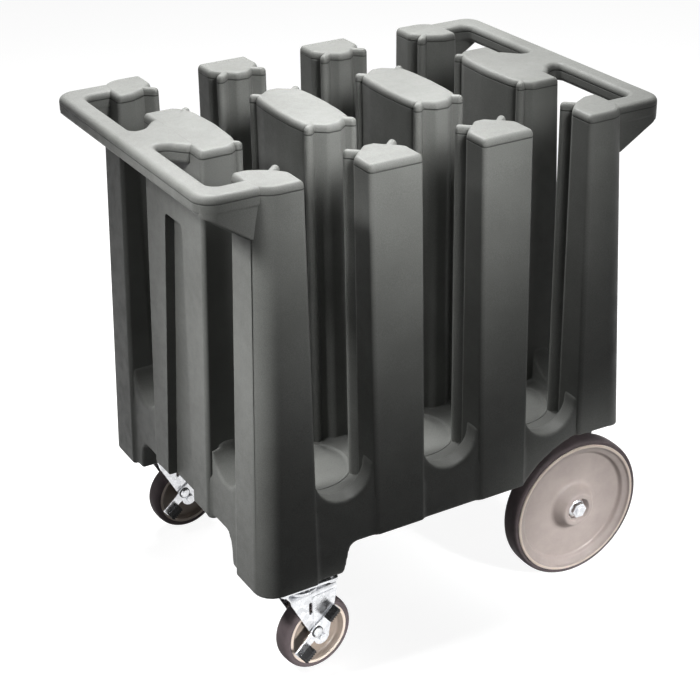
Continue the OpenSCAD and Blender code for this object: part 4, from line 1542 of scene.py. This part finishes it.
    def rocker(self) -> None:
        """Makes the brake pedal, its two ribbed pads and the round cap on its pin."""
        h, w, pad, shelf, tip = self.pedal_len / 2, self.pedal_w / 2, 23, 14, 1.4
        form, place = Form(), self.pedal()
        plan = [(-h, -w + 1), (-16, -w), (0, -w - 2.2), (16, -w), (h, -w + 1), (h, w - 1), (16, w), (0, w + 2.2),
                (-16, w), (-h, w - 1)]
        form.take(slab(plan, [2.5, 5, 8, 5, 2.5, 2.5, 5, 8, 5, 2.5], 3, 0.6, 5), place)
        for s in BOTH:
            x0, x1 = sorted((s * (h - tip - 1), s * (h - tip - pad)))
            z0 = w - 3 if s > 0 else -w
            form.take(block((x0, z0, 0.4), (x1, z0 + 3, 3 + shelf), 0.7, 3), place)
        self.piece(form, "brake_pedal_skin", "pedal", ["zinc_steel"], ["brake_pedal"])
        form = Form()
        for s in BOTH:
            x0, x1 = sorted((s * (h - tip), s * (h - tip - pad)))
            y0, y1 = (w - 3.8, w + 2.6) if s > 0 else (-w - 2.6, 3.8 - w)
            form.take(block((x0 - 0.6, y0, 3.2), (x1 + 0.6, y1, 4 + shelf), 1.4, 4), place)
            for k in range(6):
                x = x0 + 1.8 + k * (x1 - x0 - 3.6) / 5
                form.take(block((x - 1, y0 - 0.7, 3.8), (x + 1, y1 + 0.7, 4.7 + shelf), 0.8, 3), place)
        self.piece(form, "pedal_pads_skin", "pedal", ["pedal_rubber"], ["pedal_pads"])
        form = Form()
        pivot = self.swung() @ Matrix.Translation((self.pivot_x, 0, self.pivot_z)) @ turned(90, "X")
        out = self.pedal_in + 3
        cap = [(0, 18), (4, 18), (4, out + 0.9), (8, out + 0.9), (8.4, out + 2.6), (6, out + 4.6), (0, out + 5)]
        # A black ring behind the cap's rim, which gives the cap a dark edge.
        dark_ring = [(4, out + 0.3), (9.8, out + 0.3), (9.8, out + 1.4), (4, out + 1.4)]
        form.take(lathe(cap, [0, 0, 0, 0.4, 1, 1.2, 0], 48), pivot)
        form.take(lathe(dark_ring, [0, 0.3, 0.5, 0], 48), pivot, 1)
        self.piece(form, "pedal_pin_skin", "swivel", ["zinc_steel", "bush_plastic"], ["pedal_pin"])


# Studio


@dataclass(frozen=True)
class Studio:
    """A pale floor, a white surround, soft lamps and the camera at the photograph's angle.

    Eye is where the camera stands, in metres, and right, up and back are its own axes. Soft_light is the surround's
    strength as a light. The floor is floor_seen to the eye, on top of its glow, and floor_dark to everything else.
    """

    eye: Point = (-1.2339, -2.1235, 1.6439)
    right: Point = (0.8637, -0.5038, -0.0155)
    up: Point = (0.2415, 0.3866, 0.8901)
    back: Point = (-0.4424, -0.7725, 0.4555)
    lens: float = 86.4
    soft_light: float = 0.03
    floor_dark: float = 0.05
    floor_seen: float = 0.3
    floor_glow: float = 0.92

    def camera(self) -> None:
        """Sets the camera."""
        data = bpy.data.cameras.new("camera")
        data.lens = self.lens
        data.sensor_width = 36
        camera = bpy.data.objects.new("camera", data)
        bpy.context.scene.collection.objects.link(camera)
        turn = Matrix((self.right, self.up, self.back)).transposed()
        camera.matrix_world = Matrix.Translation(self.eye) @ turn.to_4x4()
        bpy.context.scene.camera = camera

    def seen(self, tree: bpy.types.NodeTree) -> Socket:
        """Adds a test for the rays that see the surround: camera, glossy and transmission rays.

        Args:
            tree: the node tree that the test goes into.

        Returns:
            The socket that is 1 for such a ray and 0 for any other.
        """
        rays = tree.nodes.new("ShaderNodeLightPath")
        last = rays.outputs["Is Camera Ray"]
        for name in ("Is Glossy Ray", "Is Transmission Ray"):
            node = tree.nodes.new("ShaderNodeMath")
            node.operation = "MAXIMUM"
            tree.links.new(last, node.inputs[0])
            tree.links.new(rays.outputs[name], node.inputs[1])
            last = node.outputs[0]
        return last

    def world(self) -> None:
        """Sets a world that looks white and lights the caddy softly."""
        world = bpy.data.worlds.new("studio")
        bpy.context.scene.world = world
        world.use_nodes = True
        tree = world.node_tree
        tree.nodes.clear()
        soft, white, mix, out = (tree.nodes.new(f"ShaderNode{kind}") for kind in
                                 ("Background", "Background", "MixShader", "OutputWorld"))
        soft.inputs["Color"].default_value = (0.93, 0.95, 1, 1)
        soft.inputs["Strength"].default_value = self.soft_light
        white.inputs["Color"].default_value = (1, 1, 1, 1)
        white.inputs["Strength"].default_value = 1.0
        tree.links.new(self.seen(tree), mix.inputs[0])
        tree.links.new(soft.outputs[0], mix.inputs[1])
        tree.links.new(white.outputs[0], mix.inputs[2])
        tree.links.new(mix.outputs[0], out.inputs[0])

    def floor(self) -> None:
        """Lays the floor, which keeps the caddy's shadow."""
        shell = bmesh.new()
        bmesh.ops.create_grid(shell, x_segments=1, y_segments=1, size=30)
        mesh = bpy.data.meshes.new("floor")
        shell.to_mesh(mesh)
        shell.free()
        floor = bpy.data.objects.new("floor", mesh)
        bpy.context.scene.collection.objects.link(floor)
        material = bpy.data.materials.new("pale_floor")
        material.use_nodes = True
        tree = material.node_tree
        tree.nodes.clear()
        plain, shade, glow, both, mix, out = (tree.nodes.new(f"ShaderNode{kind}") for kind in (
            "BsdfDiffuse", "BsdfDiffuse", "Emission", "AddShader", "MixShader", "OutputMaterial"))
        plain.inputs["Color"].default_value = (self.floor_dark,) * 3 + (1,)
        shade.inputs["Color"].default_value = (self.floor_seen,) * 3 + (1,)
        glow.inputs["Strength"].default_value = self.floor_glow
        tree.links.new(shade.outputs[0], both.inputs[0])
        tree.links.new(glow.outputs[0], both.inputs[1])
        tree.links.new(self.seen(tree), mix.inputs[0])
        tree.links.new(plain.outputs[0], mix.inputs[1])
        tree.links.new(both.outputs[0], mix.inputs[2])
        tree.links.new(mix.outputs[0], out.inputs[0])
        mesh.materials.append(material)

    def lamp(self, name: str, at: Point, to: Point, size: float, power: float, spread: float = 180) -> None:
        """Adds a soft square lamp.

        Args:
            name: its name.
            at: where it hangs.
            to: what it points at.
            size: the length of its side.
            power: its power in watts.
            spread: the angle of its beam in degrees.
        """
        data = bpy.data.lights.new(name, "AREA")
        data.shape = "SQUARE"
        data.size = size
        data.energy = power
        data.spread = math.radians(spread)
        lamp = bpy.data.objects.new(name, data)
        bpy.context.scene.collection.objects.link(lamp)
        aim = Vector(to) - Vector(at)
        lamp.matrix_world = Matrix.Translation(at) @ aim.to_track_quat("-Z", "Y").to_matrix().to_4x4()

    def build(self) -> None:
        """Sets up the whole studio."""
        bpy.context.scene.view_settings.view_transform = "Standard"
        self.camera()
        self.world()
        self.floor()
        self.lamp("top_light", (0.15, 0.7, 2.25), (0, 0, 0.8), 1.1, 108)
        self.lamp("side_light", (-0.02, -0.8, 1.35), (-0.04, -0.28, 0.96), 0.5, 2.2, 42)
        self.lamp("front_light", (-1.15, -0.08, 1.5), (-0.33, -0.2, 0.5), 0.3, 1.8, 36)
        self.lamp("low_light", (0.45, -1.45, 0.8), (0.27, -0.25, 0.08), 0.25, 0.34, 15)
        self.lamp("caster_light", (-0.12, -1.9, 0.16), (-0.225, -0.25, 0.055), 0.12, 0.12, 7)


def main() -> None:
    """Builds the caddy piece by piece and sets it in the studio."""
    logging.basicConfig(level=logging.INFO, format="%(message)s")
    PALETTE.dress_frame()
    Posts().build()
    Fins().build()
    Tub().build()
    for end in End:
        Handle(end).build()
    for side in Side:
        LargeWheel(side).build()
    AxleNuts().build()
    Caster(Side.RIGHT, 6).build()
    Caster(Side.LEFT, 2).build()
    Studio().build()
    bpy.context.view_layer.update()


if __name__ == "__main__":
    main()
